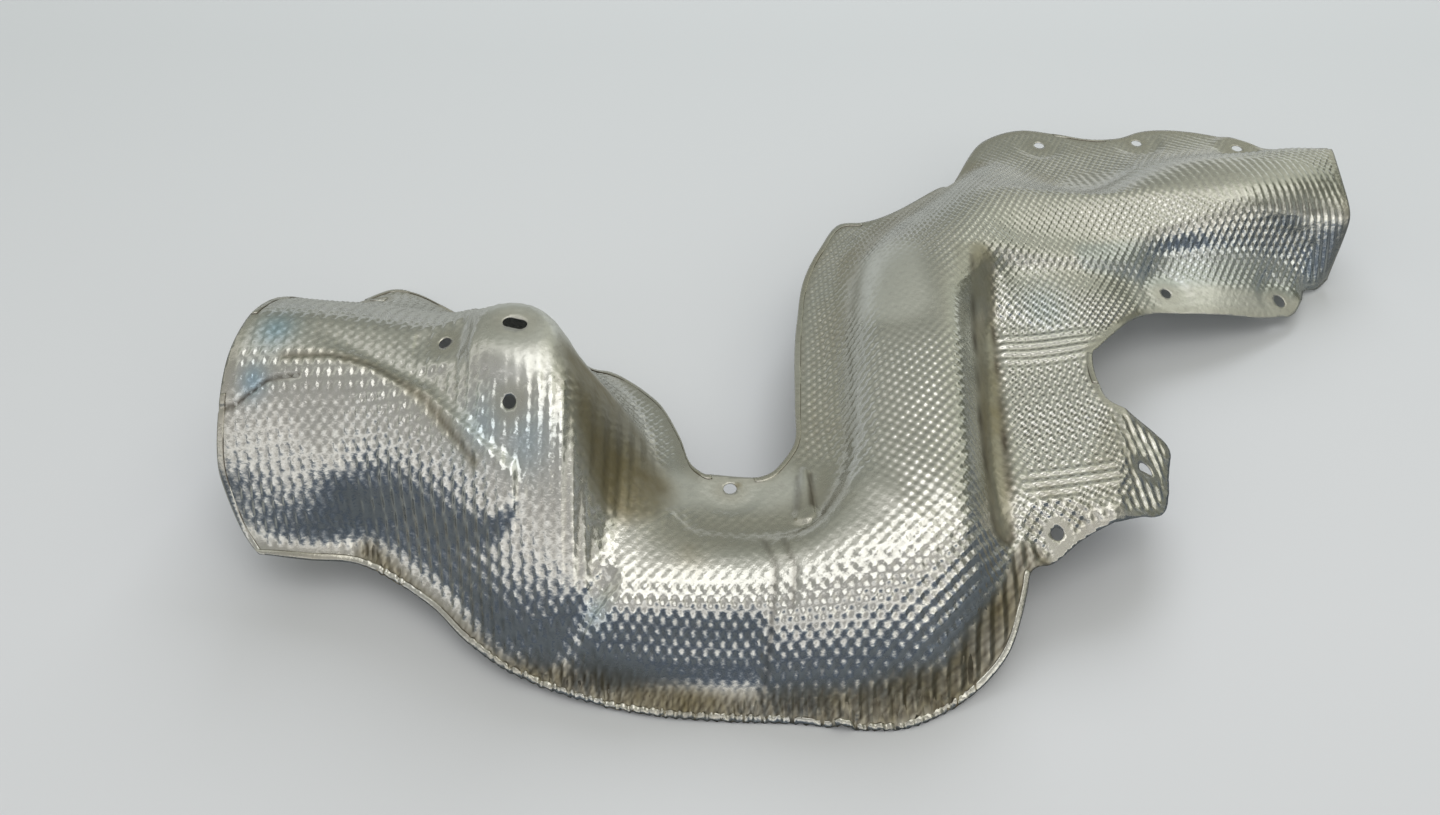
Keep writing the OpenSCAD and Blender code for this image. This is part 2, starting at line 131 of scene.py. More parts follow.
# %% Guide curves
# Front edge, from the mouth round the lower bend and the tab to the tail
lift = 24
front_edge = (
    at(MOUTH, [[0, 30, -93, lift], [38, 55, -96, lift - 1], [76, 81, -97, lift - 4]])
    + at(HUMP, [[124, -42, -97, 14], [162, -23, -114, 10], [193, -4, -127, 7], [229, 13, -134, 5],
        [282, 30, -140, 3], [318, 47, -144, 2]])
    + at(ELBOW, [[361, -85, -109, 1], [396, -52, -111, 0], [422, -23, -112, 0], [447, 7, -115, 0],
        [464, 27, -114, 0], [483, 49, -105, 1], [501, 67, -93, 5], [517, 79, -80, 12],
        [530, 85, -67, 20], [541, 89, -55, 26], [549, 91, -48, 30], [561, 104, -42, 32],
        [576, 120, -31, 35], [587, 132, -26, 39], [604, 151, -19, deck_h], [616, 165, -12, deck_h],
        [640, 177, 18, deck_h]])
    + at(BEND, [[652, 141, -179, deck_h], [664, 133, -171, deck_h], [680, 118, -165, deck_h],
        [694, 108, -158, deck_h], [709, 106, -146, deck_h], [741, 108, -123, deck_h],
        [768, 113, -117, deck_h - 1], [794, 122, -107, 42], [857, 140, -88, 36],
        [902, 154, -78, 32], [929, 163, -74, 30], [992, 204, -67, 22]])
    + at(TAIL, [[1059, -52, -56, 10], [1082, -38, -49, 8], [1093, -30, -38, 7], [1106, -23, -26, 4],
        [1124, -12, -21, 1], [1144, -3, -14, 3]])
)

# Across the pipe: an anchor, a station, and there the places of the front foot, the top of
# the steep wall, the front shoulder, the crown and the rear shoulder. () leaves one out.
SECTIONS = (
    (MOUTH, 0, (23, -87, lift + 1), (14, -73, mouth_h - 56), (9, -59, mouth_h - 34),
        (15, -19, mouth_h - 4), (27, 18, mouth_h + 8)),
    (MOUTH, 38, (54, -90, lift + 1), (56, -79, mouth_h - 48), (56, -59, mouth_h - 30),
        (55, -25, mouth_h - 1), (48, 15, mouth_h + 8)),
    (MOUTH, 76, (83, -89, lift - 2), (86, -77, mouth_h - 50), (88, -62, mouth_h - 26),
        (89, -30, mouth_h), (80, 14, mouth_h + 5)),
    (HUMP, 124, (-40, -89, 17), (-37, -77, 38), (-33, -58, 72), (-35, -16, mouth_h + 3),
        (-43, 30, mouth_h + 4)),
    (HUMP, 162, (), (), (), (-17, -17, hump_h - 3), (-20, 21, hump_h + 2)),
    (HUMP, 193, (-4, -120, 11), (0, -106, 42), (1, -66, hump_h - 31), (2, -19, hump_h + 2),
        (-1, 17, hump_h + 4)),
    (HUMP, 229, (14, -128, 9), (19, -111, 42), (23, -83, 70), (26, -40, hump_h - 8),
        (22, 3, hump_h - 1)),
    (HUMP, 282, (29, -133, 8), (34, -119, 34), (40, -108, run_h - 4), (49, -72, run_h + 9),
        (56, -29, run_h + 9)),
    (HUMP, 318, (46, -137, 6), (48, -128, 32), (51, -115, run_h - 6), (60, -88, run_h + 2),
        (68, -61, run_h + 2)),
    (ELBOW, 361, (-84, -102, 6), (-84, -88, run_h - 20), (-84, -73, run_h - 6), (-81, -55, run_h),
        (-74, -40, run_h)),
    (ELBOW, 396, (-52, -104, 5), (-52, -88, run_h - 20), (-52, -73, run_h - 6), (-52, -55, run_h),
        (-51, -43, run_h - 1)),
    (ELBOW, 447, (5, -106, 5), (-3, -89, 35), (-7, -71, run_h), (-16, -52, run_h + 6),
        (-18, -39, 55)),
    (ELBOW, 480, (41, -98, 7), (31, -81, 41), (17, -64, 58), (3, -43, 63), (-6, -28, 60)),
    (ELBOW, 501, (58, -85, 12), (47, -71, 46), (32, -56, 63), (13, -34, 66), (0, -18, 63)),
    (ELBOW, 517, (68, -73, 18), (54, -63, 52), (40, -48, 66), (19, -26, 69), (4, -9, 64)),
    (ELBOW, 530, (73, -63, 25), (58, -56, 56), (46, -41, 68), (23, -16, 70), (7, 1, 64)),
    (ELBOW, 549, (78, -43, 34), (60, -47, 60), (50, -32, 71), (25, -5, 71), (10, 13, 65)),
    (ELBOW, 587, (78, -24, deck_h - 4), (63, -24, 64), (55, -6, riser_h - 3),
        (29, 23, riser_h - 3), (13, 42, riser_h - 9)),
    (ELBOW, 640, (81, 5, deck_h - 1), (66, 6, riser_h - 10), (58, 21, riser_h - 1),
        (32, 52, riser_h - 1), (16, 73, riser_h - 7)),
    (BEND, 697, (48, -151, deck_h), (31, -158, riser_h - 8), (22, -149, riser_h + 1),
        (-1, -114, riser_h + 1), (-17, -90, riser_h - 6)),
    (BEND, 759, (59, -102, deck_h + 2), (40, -104, riser_h - 8), (30, -95, riser_h + 2),
        (13, -73, riser_h + 2), (-1, -55, riser_h - 6)),
    (BEND, 803, (86, -110, deck_h + 2), (68, -73, 59), (57, -64, riser_h - 4),
        (40, -43, riser_h + 3), (30, -20, riser_h - 6)),
    (BEND, 857, (119, -94, deck_h), (108, -67, 54), (90, -53, 61), (75, -18, riser_h + 1),
        (63, 6, 68)),
    (BEND, 897, (147, -62, 39), (141, -44, branch_h - 13), (126, -35, branch_h - 7),
        (110, -11, branch_h + 7), (93, 2, branch_h)),
    (BEND, 933, (172, -38, 34), (164, -32, branch_h - 11), (164, -17, branch_h - 5),
        (143, -6, branch_h + 3), (123, -4, branch_h - 1)),
    (BEND, 992, (212, -31, 30), (202, -20, branch_h - 9), (198, -9, branch_h - 3),
        (192, 5, branch_h + 2), (173, 24, branch_h - 1)),
    (BEND, 1041, (239, -27, 22), (233, -11, branch_h - 13), (232, -4, branch_h - 5),
        (236, 13, branch_h + 1), (209, 38, branch_h)),
    (TAIL, 1071, (-45, -25, 14), (-48, -8, 44), (-46, -2, 54), (-39, 18, 62), (-60, 43, 64)),
    (TAIL, 1106, (-26, -21, 9), (-25, -4, 38), (-23, 4, 48), (-19, 23, 57), (-26, 54, 60)),
    (TAIL, 1144, (-3, -13, 6), (4, 2, 34), (4, 8, 43), (4, 35, 51), (8, 62, 53)),
)

# Foot of the rear wall
rear_foot = (
    at(MOUTH, [[0, 28, 88, 20], [38, 44, 92, 14], [76, 64, 98, 8]])
    + at(HUMP, [[124, -60, 110, 6], [162, -32, 98, 8], [193, -8, 80, 13], [229, 18, 54, 22],
        [282, 58, 9, 32], [318, 71, -34, deck_h - 3]])
    + at(ELBOW, [[333, -86, -10, deck_h], [349, -79, -22, deck_h + 1], [364, -72, -30, deck_h + 1],
        [381, -55, -33, deck_h + 1], [411, -24, -34, deck_h + 2], [447, -15, -30, deck_h + 3],
        [480, -4, -12, deck_h + 3], [501, 1, 0, deck_h + 3], [517, 3, 12, deck_h + 3],
        [549, 2, 33, deck_h + 1], [587, 3, 66, deck_h + 1], [640, 7, 101, deck_h + 1]])
    + at(BEND, [[697, -22, -58, deck_h + 1], [759, -1, -20, deck_h + 2], [803, 31, 8, deck_h + 2],
        [857, 80, 57, deck_h + 2], [897, 101, 44, deck_h + 2], [933, 130, 26, deck_h + 2],
        [973, 156, 36, deck_h + 1], [992, 173, 54, deck_h], [1041, 225, 62, deck_h + 1]])
    + at(TAIL, [[1071, -48, 64, deck_h + 1], [1106, -20, 68, deck_h + 1], [1144, 8, 64, 50]])
)

# Rear edge, from behind the mouth past the hole in the tongue and up the riser to the tail
rear_edge = (
    at(MOUTH, [[0, 34, 117, 4], [38, 46, 119, 2]])
    + at(HUMP, [[72, -128, 142, 0], [86, -115, 150, 0], [105, -98, 146, 1], [124, -78, 133, 2],
        [136, -68, 126, 2], [170, -24, 111, 0], [193, -3, 96, 2], [229, 26, 62, 17],
        [251, 36, 56, 21], [279, 48, 45, 25], [301, 59, 32, 29], [320, 68, 19, 32]])
    + at(ELBOW, [[345, -81, 31, 38], [364, -74, 8, 43], [371, -69, 2, deck_h],
        [381, -64, 1, deck_h], [401, -44, -1, deck_h], [420, -36, 1, deck_h],
        [447, -29, 8, deck_h], [470, -24, 16, deck_h], [501, -21, 24, deck_h],
        [558, -20, 50, deck_h], [640, -16, 112, deck_h]])
    + at(BEND, [[676, -50, -61, deck_h], [704, -39, -33, deck_h], [726, -25, -9, deck_h],
        [741, -11, -7, deck_h], [810, 43, 29, deck_h], [844, 51, 32, deck_h], [902, 80, 81, deck_h],
        [943, 109, 94, deck_h], [970, 129, 90, deck_h], [1009, 161, 83, deck_h],
        [1021, 174, 85, deck_h], [1036, 189, 92, deck_h]])
    + at(TAIL, [[1088, -53, 84, deck_h], [1099, -43, 78, deck_h], [1110, -34, 72, deck_h + 1],
        [1144, 7, 66, 50]])
)

inner = [[], [], [], [], []]
for anchor, station, *places in SECTIONS:
    for curve, place in zip(inner, places):
        if place:
            curve += at(anchor, [[station, *place]])
RAILS = [front_edge, *inner, rear_foot, rear_edge]
print(len(RAILS), "guide curves with", sum(len(r) for r in RAILS), "places")

# %% Loft


def arc(points):
    """Distance along a line of points, from 0 at its start."""
    return np.concatenate([[0], np.cumsum(np.linalg.norm(np.diff(points, axis=0), axis=1))])


def resample(points, run, goal):
    """Points of a line at the distances in goal; run holds the distance of each given point."""
    return np.stack([np.interp(goal, run, points[:, c]) for c in range(3)], axis=1)


def guide(keys, s):
    """A smooth curve through the keys, at stations s."""
    keys = np.array(keys, float)
    k, p = keys[:, 0], keys[:, 1:]
    h = np.diff(k)
    chord = np.diff(p, axis=0) / h[:, None]
    slope = np.empty_like(p)
    slope[0], slope[-1] = chord[0], chord[-1]
    slope[1:-1] = (chord[:-1] * h[1:, None] + chord[1:] * h[:-1, None]) / (h[:-1] + h[1:])[:, None]
    i = np.clip(np.searchsorted(k, s, side="right") - 1, 0, len(k) - 2)
    t, g = ((s - k[i]) / h[i])[:, None], h[i][:, None]
    return (
        (1 + 2 * t) * (1 - t) ** 2 * p[i]
        + t * (1 - t) ** 2 * g * slope[i]
        + t * t * (3 - 2 * t) * p[i + 1]
        + t * t * (t - 1) * g * slope[i + 1]
    )


def loft(stations, across, fine=30):
    """The pressed shape as rows of points, one row for each station, evenly spaced across."""
    c = np.stack([guide(r, stations) for r in RAILS], axis=1)
    t = (np.arange(fine) / fine)[None, :, None]
    parts = []
    for i in range(6):
        a = c[:, 0] if i == 0 else (c[:, i] + c[:, i + 1]) / 2
        b = c[:, i + 1]
        d = c[:, 7] if i == 5 else (c[:, i + 1] + c[:, i + 2]) / 2
        parts.append((1 - t) ** 2 * a[:, None] + 2 * t * (1 - t) * b[:, None] + t * t * d[:, None])
    p = np.concatenate([*parts, c[:, 7:8]], axis=1)
    rows = []
    for section in p:
        run = arc(section)
        rows.append(resample(section, run, np.linspace(0, run[-1], across)))
    return np.stack(rows)


# Every 2 mm, and at the corners of the outline
CORNERS = [549, 616, 652, 709, 741, 970, 1009]
STATIONS = np.unique(np.concatenate([np.arange(0, 1144.1, 2.0), CORNERS]))
rows = loft(STATIONS, 131)
print("the loft has", rows.shape[0] * rows.shape[1], "points")

# %% [markdown]
# ## What the press added
# Each feature says how much the sheet rises or falls at a place in plan: the bulge on the
# mouth, the stepped pocket in the front wall, the groove at the foot of the riser, the
# bent-down tab, the arch in the front rim, the dart on the tongue, and soft folds. Small
# functions of the place were chosen over hand sculpting, so that each dent can be measured.

# %% Soft steps and distances


def ease(a, b, v):
    t = np.clip((v - a) / (b - a), 0, 1)
    return t * t * (3 - 2 * t)


def window(a, b, soft, v):
    return ease(a - soft, a + soft, v) * (1 - ease(b - soft, b + soft, v))


def chain_gap(chain, x, y):
    """Distance in plan from a chain of [x, y, half width], less the half width there."""
    gap = np.full(np.shape(x), 1e9)
    for (ax, ay, aw), (bx, by, bw) in zip(chain[:-1], chain[1:]):
        dx, dy = bx - ax, by - ay
        t = np.clip(((x - ax) * dx + (y - ay) * dy) / (dx * dx + dy * dy), 0, 1)
        gap = np.minimum(gap, np.hypot(x - ax - t * dx, y - ay - t * dy) - aw - t * (bw - aw))
    return gap


def line(anchor, points):
    return [[anchor[0] + p[0], anchor[1] + p[1], p[2] if len(p) > 2 else 0] for p in points]


print("a step from 0 to 10 mm has risen", round(float(ease(0, 10, 3)), 2), "at 3 mm")

# %% Places of the pressed features
BULGE = line(HUMP, [[-138, -4, 18], [-90, -28, 26], [-52, -41, 20], [-26, -60, 16], [-6, -72, 12]])
GROOVE = line(ELBOW, [[80, -34], [79, 0], [88, 70]]) + line(BEND, [[56, -80]])
DART = line(ELBOW, [[-18, 2, 1], [-19, -28, 5]])
PINCH = line(ELBOW, [[-114, -65], [-119, -72], [-130, -80], [-144, -90]])
VENT = BEND + [120, -200]
FOLD_A, FOLD_B = BEND + [115, -168], BEND + [92, -242]
FOLD_D = (FOLD_A - FOLD_B) / np.linalg.norm(FOLD_A - FOLD_B)
TAB_FALL = 0.64


def beyond_fold(x, y):
    """How far a place on the tab lies beyond its fold line."""
    d = (x - FOLD_B[0]) * FOLD_D[1] - (y - FOLD_B[1]) * FOLD_D[0]
    along = (x - FOLD_B[0]) * FOLD_D[0] + (y - FOLD_B[1]) * FOLD_D[1]
    jagged = 1.6 * abs((along / 6.5) % 1 - 0.5) + 0.5 * np.sin(along / 2.3)
    return np.maximum(0, d - jagged) * (1 - ease(-168, -150, y - BEND[1]))


MOUTH_CREASE = line(
    ELBOW, [[-275, 37], [-251, 36], [-230, 30], [-214, 20], [-202, 11], [-186, -7], [-175, -20]]
)
MOUTH_LAP = line(ELBOW, [[-311, 18], [-300, 19], [-282, 27], [-267, 27.5]])
RUN_CREASES = (
    line(ELBOW, [[-39, -44], [-34, -58], [-35, -73], [-39, -100]]),
    line(ELBOW, [[-30, -44], [-25, -60], [-27, -76]]),
)
WALL_STEP = [90, 112, 140, 168, 190, 215], [146, 147, 150, 154, 158, 161]
RIM_LINE = [
    [-245, -20], [-222, -44], [-190, -72], [-166, -88], [-142, -95],
    [-100, -103], [-52, -107], [5, -109], [40, -101], [66, -80],
]

# %% Pressed features


def gathers(x, y):
    """Small folds across the narrow front flange, where the sheet had to shrink."""
    line_y = np.interp(x, *zip(*RIM_LINE))
    band = (1 - ease(0, 5, y - line_y)) * window(-236, 60, 10, x)
    return band * (np.sin(x * 1.35 + 0.9 * np.sin(x / 7.0)) + 0.5 * np.sin(x * 2.3 + y * 0.4))


def fades(inner, outer, chain, x, y):
    """1 on a chain, falling to 0 between an inner and an outer distance from it."""
    return 1 - ease(inner, outer, chain_gap(chain, x, y))


def vent_arch(x, y):
    """The double raised lip over the half-round vent in the tab."""
    vx, vy = x - VENT[0], y - VENT[1]
    away = np.hypot(vx, vy)
    over = ease(-0.9, 0.2, np.cos(np.arctan2(vy, vx) - 2.0)) * (x > 100) * (y < 60)
    lips = np.exp(-(((away - 7.0) / 1.3) ** 2)) + 0.6 * np.exp(-(((away - 10.5) / 1.1) ** 2))
    return over * lips


def wall_step(x, y):
    """The step along the branch's wall: up above its line and down below."""
    above = y - np.interp(x, *WALL_STEP)
    return window(98, 206, 10, x) * (1 - ease(6, 20, abs(above))) * (2 * ease(-4, 4, above) - 1)


def pressed(x, y):
    """How far the press raised the sheet at places in plan."""
    soft = 16 * (1 - ease(-285, -235, x))
    rise = 5.0 * fades(-4 - soft, 5 + soft, BULGE, x, y)
    rise -= 5.0 * window(HUMP[0] + 46, -40, 5, x) * window(-101, -80, 7, y)  # the pocket
    rise -= 2.2 * fades(2, 9, GROOVE, x, y)
    rise -= TAB_FALL * beyond_fold(x, y)
    rise += 3.0 * (1 - ease(1, 7, abs(x + 3))) * (1 - ease(-110, -100, y))  # the rim's arch
    rise += 2.5 * fades(-1.5, 2, DART, x, y)
    rise -= 3.5 * fades(0, 9, PINCH, x, y)
    rise -= 1.0 * fades(0, 2.2, MOUTH_CREASE, x, y)
    rise -= 0.9 * fades(0, 1.8, MOUTH_LAP, x, y)
    for crease in RUN_CREASES:
        rise -= 0.45 * fades(0, 2.6, crease, x, y)
    rise += 1.2 * gathers(x, y)
    rise += 1.5 * wall_step(x, y)
    rise += 1.3 * vent_arch(x, y)
    plate = window(90, 180, 14, x) * window(-60, 110, 20, y)
    rise += 0.6 * plate * np.sin(2 * math.pi * (y - 0.3 * x) / 46)
    return rise


print("the bulge rises", round(float(pressed(*np.array(BULGE)[2:3, :2].T)[0]), 1), "mm")

# %% [markdown]
# ## Flat seats
# The press left a flat place round each hole. The record holds every hole's centre, axis
# and radius, and the hole in the tongue ties the guide curves to the part's frame. Blending
# the heights into a plane keeps the sheet in one skin, where a laid-in disc would show a seam.

# %% Seats and holes
tongue = np.array(mounts["tongue_hole"]["pos_m"]) / MM
SHIFT = np.array([-55.0, -8.0]) - tongue[:2]
SEAT_FLAT, SEAT_BLEND = 12, 7


def seat(name, centre, normal, radius, flat):
    c = np.array(centre, float)
    c[:2] += SHIFT
    n = np.array(normal, float)
    return SimpleNamespace(name=name, c=c, n=n / np.linalg.norm(n), r=radius, flat=flat)


top_z = mounts["hump_seat"]["pos_m"][2] / MM
seats = []
for m in mounts.values():
    if m["kind"] == "bore":
        on_top = np.array(m["pos_m"]) / MM + np.array(m["axis"]) * SHEET_T / 2
        seats.append(seat(m["name"], on_top, m["axis"], m["dims"]["r_mm"], SEAT_FLAT))
slot_place = np.array([HUMP[0] + 1, HUMP[1], top_z]) - [*SHIFT, 0]
seats.append(seat("slot", slot_place, [0, 0, 1], 3.3, 10))
SLOT_TURN, SLOT_L = math.radians(-17), 12.5
print(len(seats), "seats so far")

# %% [markdown]
# ## The surface as a height
# Seen from above the pressed shape never folds under itself, so a ray dropped on the loft
# gives the height of the sheet anywhere inside its outline. The fine mesh then needn't follow
# the loft's own uneven grid.

# %% Height of the sheet
n_rows, n_across = rows.shape[:2]
grid_id = np.arange(n_rows * n_across).reshape(n_rows, n_across)
quads = np.stack([grid_id[:-1, :-1], grid_id[1:, :-1], grid_id[1:, 1:], grid_id[:-1, 1:]], axis=-1)
loft_tree = BVHTree.FromPolygons(rows.reshape(-1, 3).tolist(), quads.reshape(-1, 4).tolist())
DOWN, ABOVE = Vector((0, 0, -1)), 300.0


def dropped(x, y):
    """Height of the loft under each point in plan, or nan outside it."""
    out = np.full(len(x), np.nan)
    for k, (px, py) in enumerate(zip(x.tolist(), y.tolist())):
        hit = loft_tree.ray_cast(Vector((px, py, ABOVE)), DOWN)[0]
        if hit is not None:
            out[k] = hit.z
    return out


def seated(x, y, z):
    """Heights z blended into the flat seat round each hole."""
    for s in seats:
        blend = 3 * SEAT_BLEND if s.name == "slot" else SEAT_BLEND
        share = 1 - ease(s.flat, s.flat + blend, np.hypot(x - s.c[0], y - s.c[1]))
        plane = s.c[2] - (s.n[0] * (x - s.c[0]) + s.n[1] * (y - s.c[1])) / s.n[2]
        z = z + share * (plane - z)
    return z


def own_height(x, y):
    """Height of the pressed sheet before its seats were made flat."""
    return dropped(x, y) + pressed(x, y)


def height(x, y):
    return seated(x, y, own_height(x, y))


LIFT = top_z - own_height(np.array([HUMP[0] + 1.0]), np.array([HUMP[1]]))[0]
rows[:, :, 2] += LIFT
loft_tree = BVHTree.FromPolygons(rows.reshape(-1, 3).tolist(), quads.reshape(-1, 4).tolist())
probe = 4.0
vent_x = VENT[0] + probe * np.array([0, 1, -1, 0, 0])
vent_y = VENT[1] + probe * np.array([0, 0, 0, 1, -1])
vent_z = own_height(vent_x, vent_y)
vent_n = [-(vent_z[1] - vent_z[2]) / (2 * probe), -(vent_z[3] - vent_z[4]) / (2 * probe), 1]
seats.append(seat("vent", np.array([*VENT, vent_z[0]]) - [*SHIFT, 0], vent_n, 4.2, 7))
print("the loft was lifted by", round(LIFT, 2), "mm to meet the slotted seat")

# %% [markdown]
# ## Outlines
# One loop runs round the sheet, and one round each hole. The vent is a half circle. The mesh
# is built up to exact loops, because holes cut by a boolean would leave slivers between knobs.

# %% Outline and hole loops


def spaced(points, step):
    """The same line with even steps."""
    run = arc(points)
    return resample(points, run, np.linspace(0, run[-1], max(2, round(run[-1] / step)) + 1))


def lifted(p):
    """Points of the loft, pressed and seated."""
    p = p.copy()
    p[:, 2] = seated(p[:, 0], p[:, 1], p[:, 2] + pressed(p[:, 0], p[:, 1]))
    return p


EDGE_STEP = 1.6
sides = [rows[:, 0], rows[-1, :], rows[::-1, -1], rows[0, ::-1]]
outline = np.concatenate([lifted(spaced(s, EDGE_STEP))[:-1] for s in sides])


def on_plane(s, xy):
    """Points of a flat seat from their places in plan, counted from its centre."""
    z = s.c[2] - (s.n[0] * xy[:, 0] + s.n[1] * xy[:, 1]) / s.n[2]
    return np.column_stack([s.c[0] + xy[:, 0], s.c[1] + xy[:, 1], z])


def round_loop(s, count=28):
    a = np.linspace(0, 2 * math.pi, count, endpoint=False)
    n = s.n
    e1 = np.cross([0, 1, 0], n)
    e1 /= np.linalg.norm(e1)
    e2 = np.cross(n, e1)
    ring = s.r * (np.cos(a)[:, None] * e1 + np.sin(a)[:, None] * e2)
    return on_plane(s, ring[:, :2])


def slot_loop(s):
    half = SLOT_L / 2 - s.r
    a = np.linspace(-math.pi / 2, math.pi / 2, 13)
    x = np.concatenate([half + s.r * np.cos(a), -half - s.r * np.cos(a)])
    y = np.concatenate([s.r * np.sin(a), -s.r * np.sin(a)])
    c, d = math.cos(SLOT_TURN), math.sin(SLOT_TURN)
    return on_plane(s, np.column_stack([c * x - d * y, d * x + c * y]))


def vent_loop(s):
    low = -s.r / 3
    a0 = math.asin(low / s.r)
    a = np.linspace(a0, math.pi - a0, 22)
    bow = np.column_stack([s.r * np.cos(a), s.r * np.sin(a)])
    foot = np.column_stack([np.linspace(bow[-1, 0], bow[0, 0], 10)[1:-1], np.full(8, low)])
    return on_plane(s, np.concatenate([bow, foot]))


LOOP_KINDS = {"slot": slot_loop, "vent": vent_loop}
hole_loops = [LOOP_KINDS.get(s.name, round_loop)(s) for s in seats]
loops = [outline, *hole_loops]
print(len(outline), "points round the sheet and", len(hole_loops), "holes")

# %% [markdown]
# ## The embossing's lattice
# The knobs were rolled into the flat sheet as a square lattice. Pressing turned that lattice
# a little towards the branch, so a place in plan has its own place (u, v) on the flat sheet.
# A plain grid laid from above would look printed on; this one turns with the metal.

# %% Lattice
PITCH = 5.6
TURN = 0.30
turn_x = np.linspace(-400, 500, 1801)
turn_b = ease(-40, 200, turn_x)
turn_f = np.concatenate([[0], np.cumsum((turn_b[1:] + turn_b[:-1]) / 2 * np.diff(turn_x))]) * TURN


def to_lattice(x, y):
    """The place (u, v) on the flat sheet of a place in plan; pressing left it a little uneven."""
    share = np.interp(x, turn_x, turn_b)
    u = x + TURN * share * (y - 100) * 0.75 + 1.2 * np.sin(y / 31.0)
    v = y - np.interp(x, turn_x, turn_f) + np.sin(x / 37.0 + 1.0)
    return u + 0.8 * np.sin(y / 17.0 + x / 60.0), v + 0.7 * np.sin(x / 19.0 + y / 50.0)


def from_lattice(u, v):
    """The place in plan of (u, v), found by steps that shrink the error."""
    x, y = u.copy(), v.copy()
    for _ in range(40):
        a, b = to_lattice(x, y)
        x, y = x - 0.8 * (a - u), y - 0.8 * (b - v)
    return x, y


print("the lattice turns by", round(math.degrees(TURN)), "degrees towards the branch")

# %% [markdown]
# ## One fine layer of the sheet
# A layer is a net on the lattice, four squares to a knob, so every knob is cut alike.
# Squares that would cross an outline are left out, and the band up to the outline is filled
# with triangles that meet it exactly.

# %% Tests of points
edge_points = np.concatenate(loops)
edge_tree = KDTree(len(edge_points))
for k, p in enumerate(edge_points):
    edge_tree.insert((p[0], p[1], 0), k)
edge_tree.balance()


def in_holes(x, y):
    """True where a point lies in a hole."""
    inside = np.zeros(len(x), bool)
    for s in seats:
        reach = SLOT_L / 2 if s.name == "slot" else s.r
        inside |= np.hypot(x - s.c[0], y - s.c[1]) < reach
    return inside


def odd(px, py, a, b):
    """True where a point lies inside an odd number of the loops whose edges run from a to b."""
    out = np.zeros(len(px), bool)
    ax, ay, bx, by = a[:, 0], a[:, 1], b[:, 0], b[:, 1]
    run = np.where(abs(by - ay) < 1e-12, 1e-12, by - ay)
    for k in range(0, len(px), 500):
        x, y = px[k : k + 500, None], py[k : k + 500, None]
        cross = ((ay > y) != (by > y)) & (x < (bx - ax) * (y - ay) / run + ax)
        out[k : k + 500] = cross.sum(1) % 2 == 1
    return out


def net_normals(points, faces):
    """Smooth unit normals of triangles and squares, pointing up."""
    normal = np.zeros_like(points)
    for f in faces:
        a, b, c = points[f[:, 0]], points[f[:, 1]], points[f[:, -1]]
        n = np.cross(b - a, c - a)
        for col in range(f.shape[1]):
            np.add.at(normal, f[:, col], n)
    return normal / np.maximum(np.linalg.norm(normal, axis=1), 1e-12)[:, None]


print(len(edge_points), "points lie on the edges")

# %% Layers


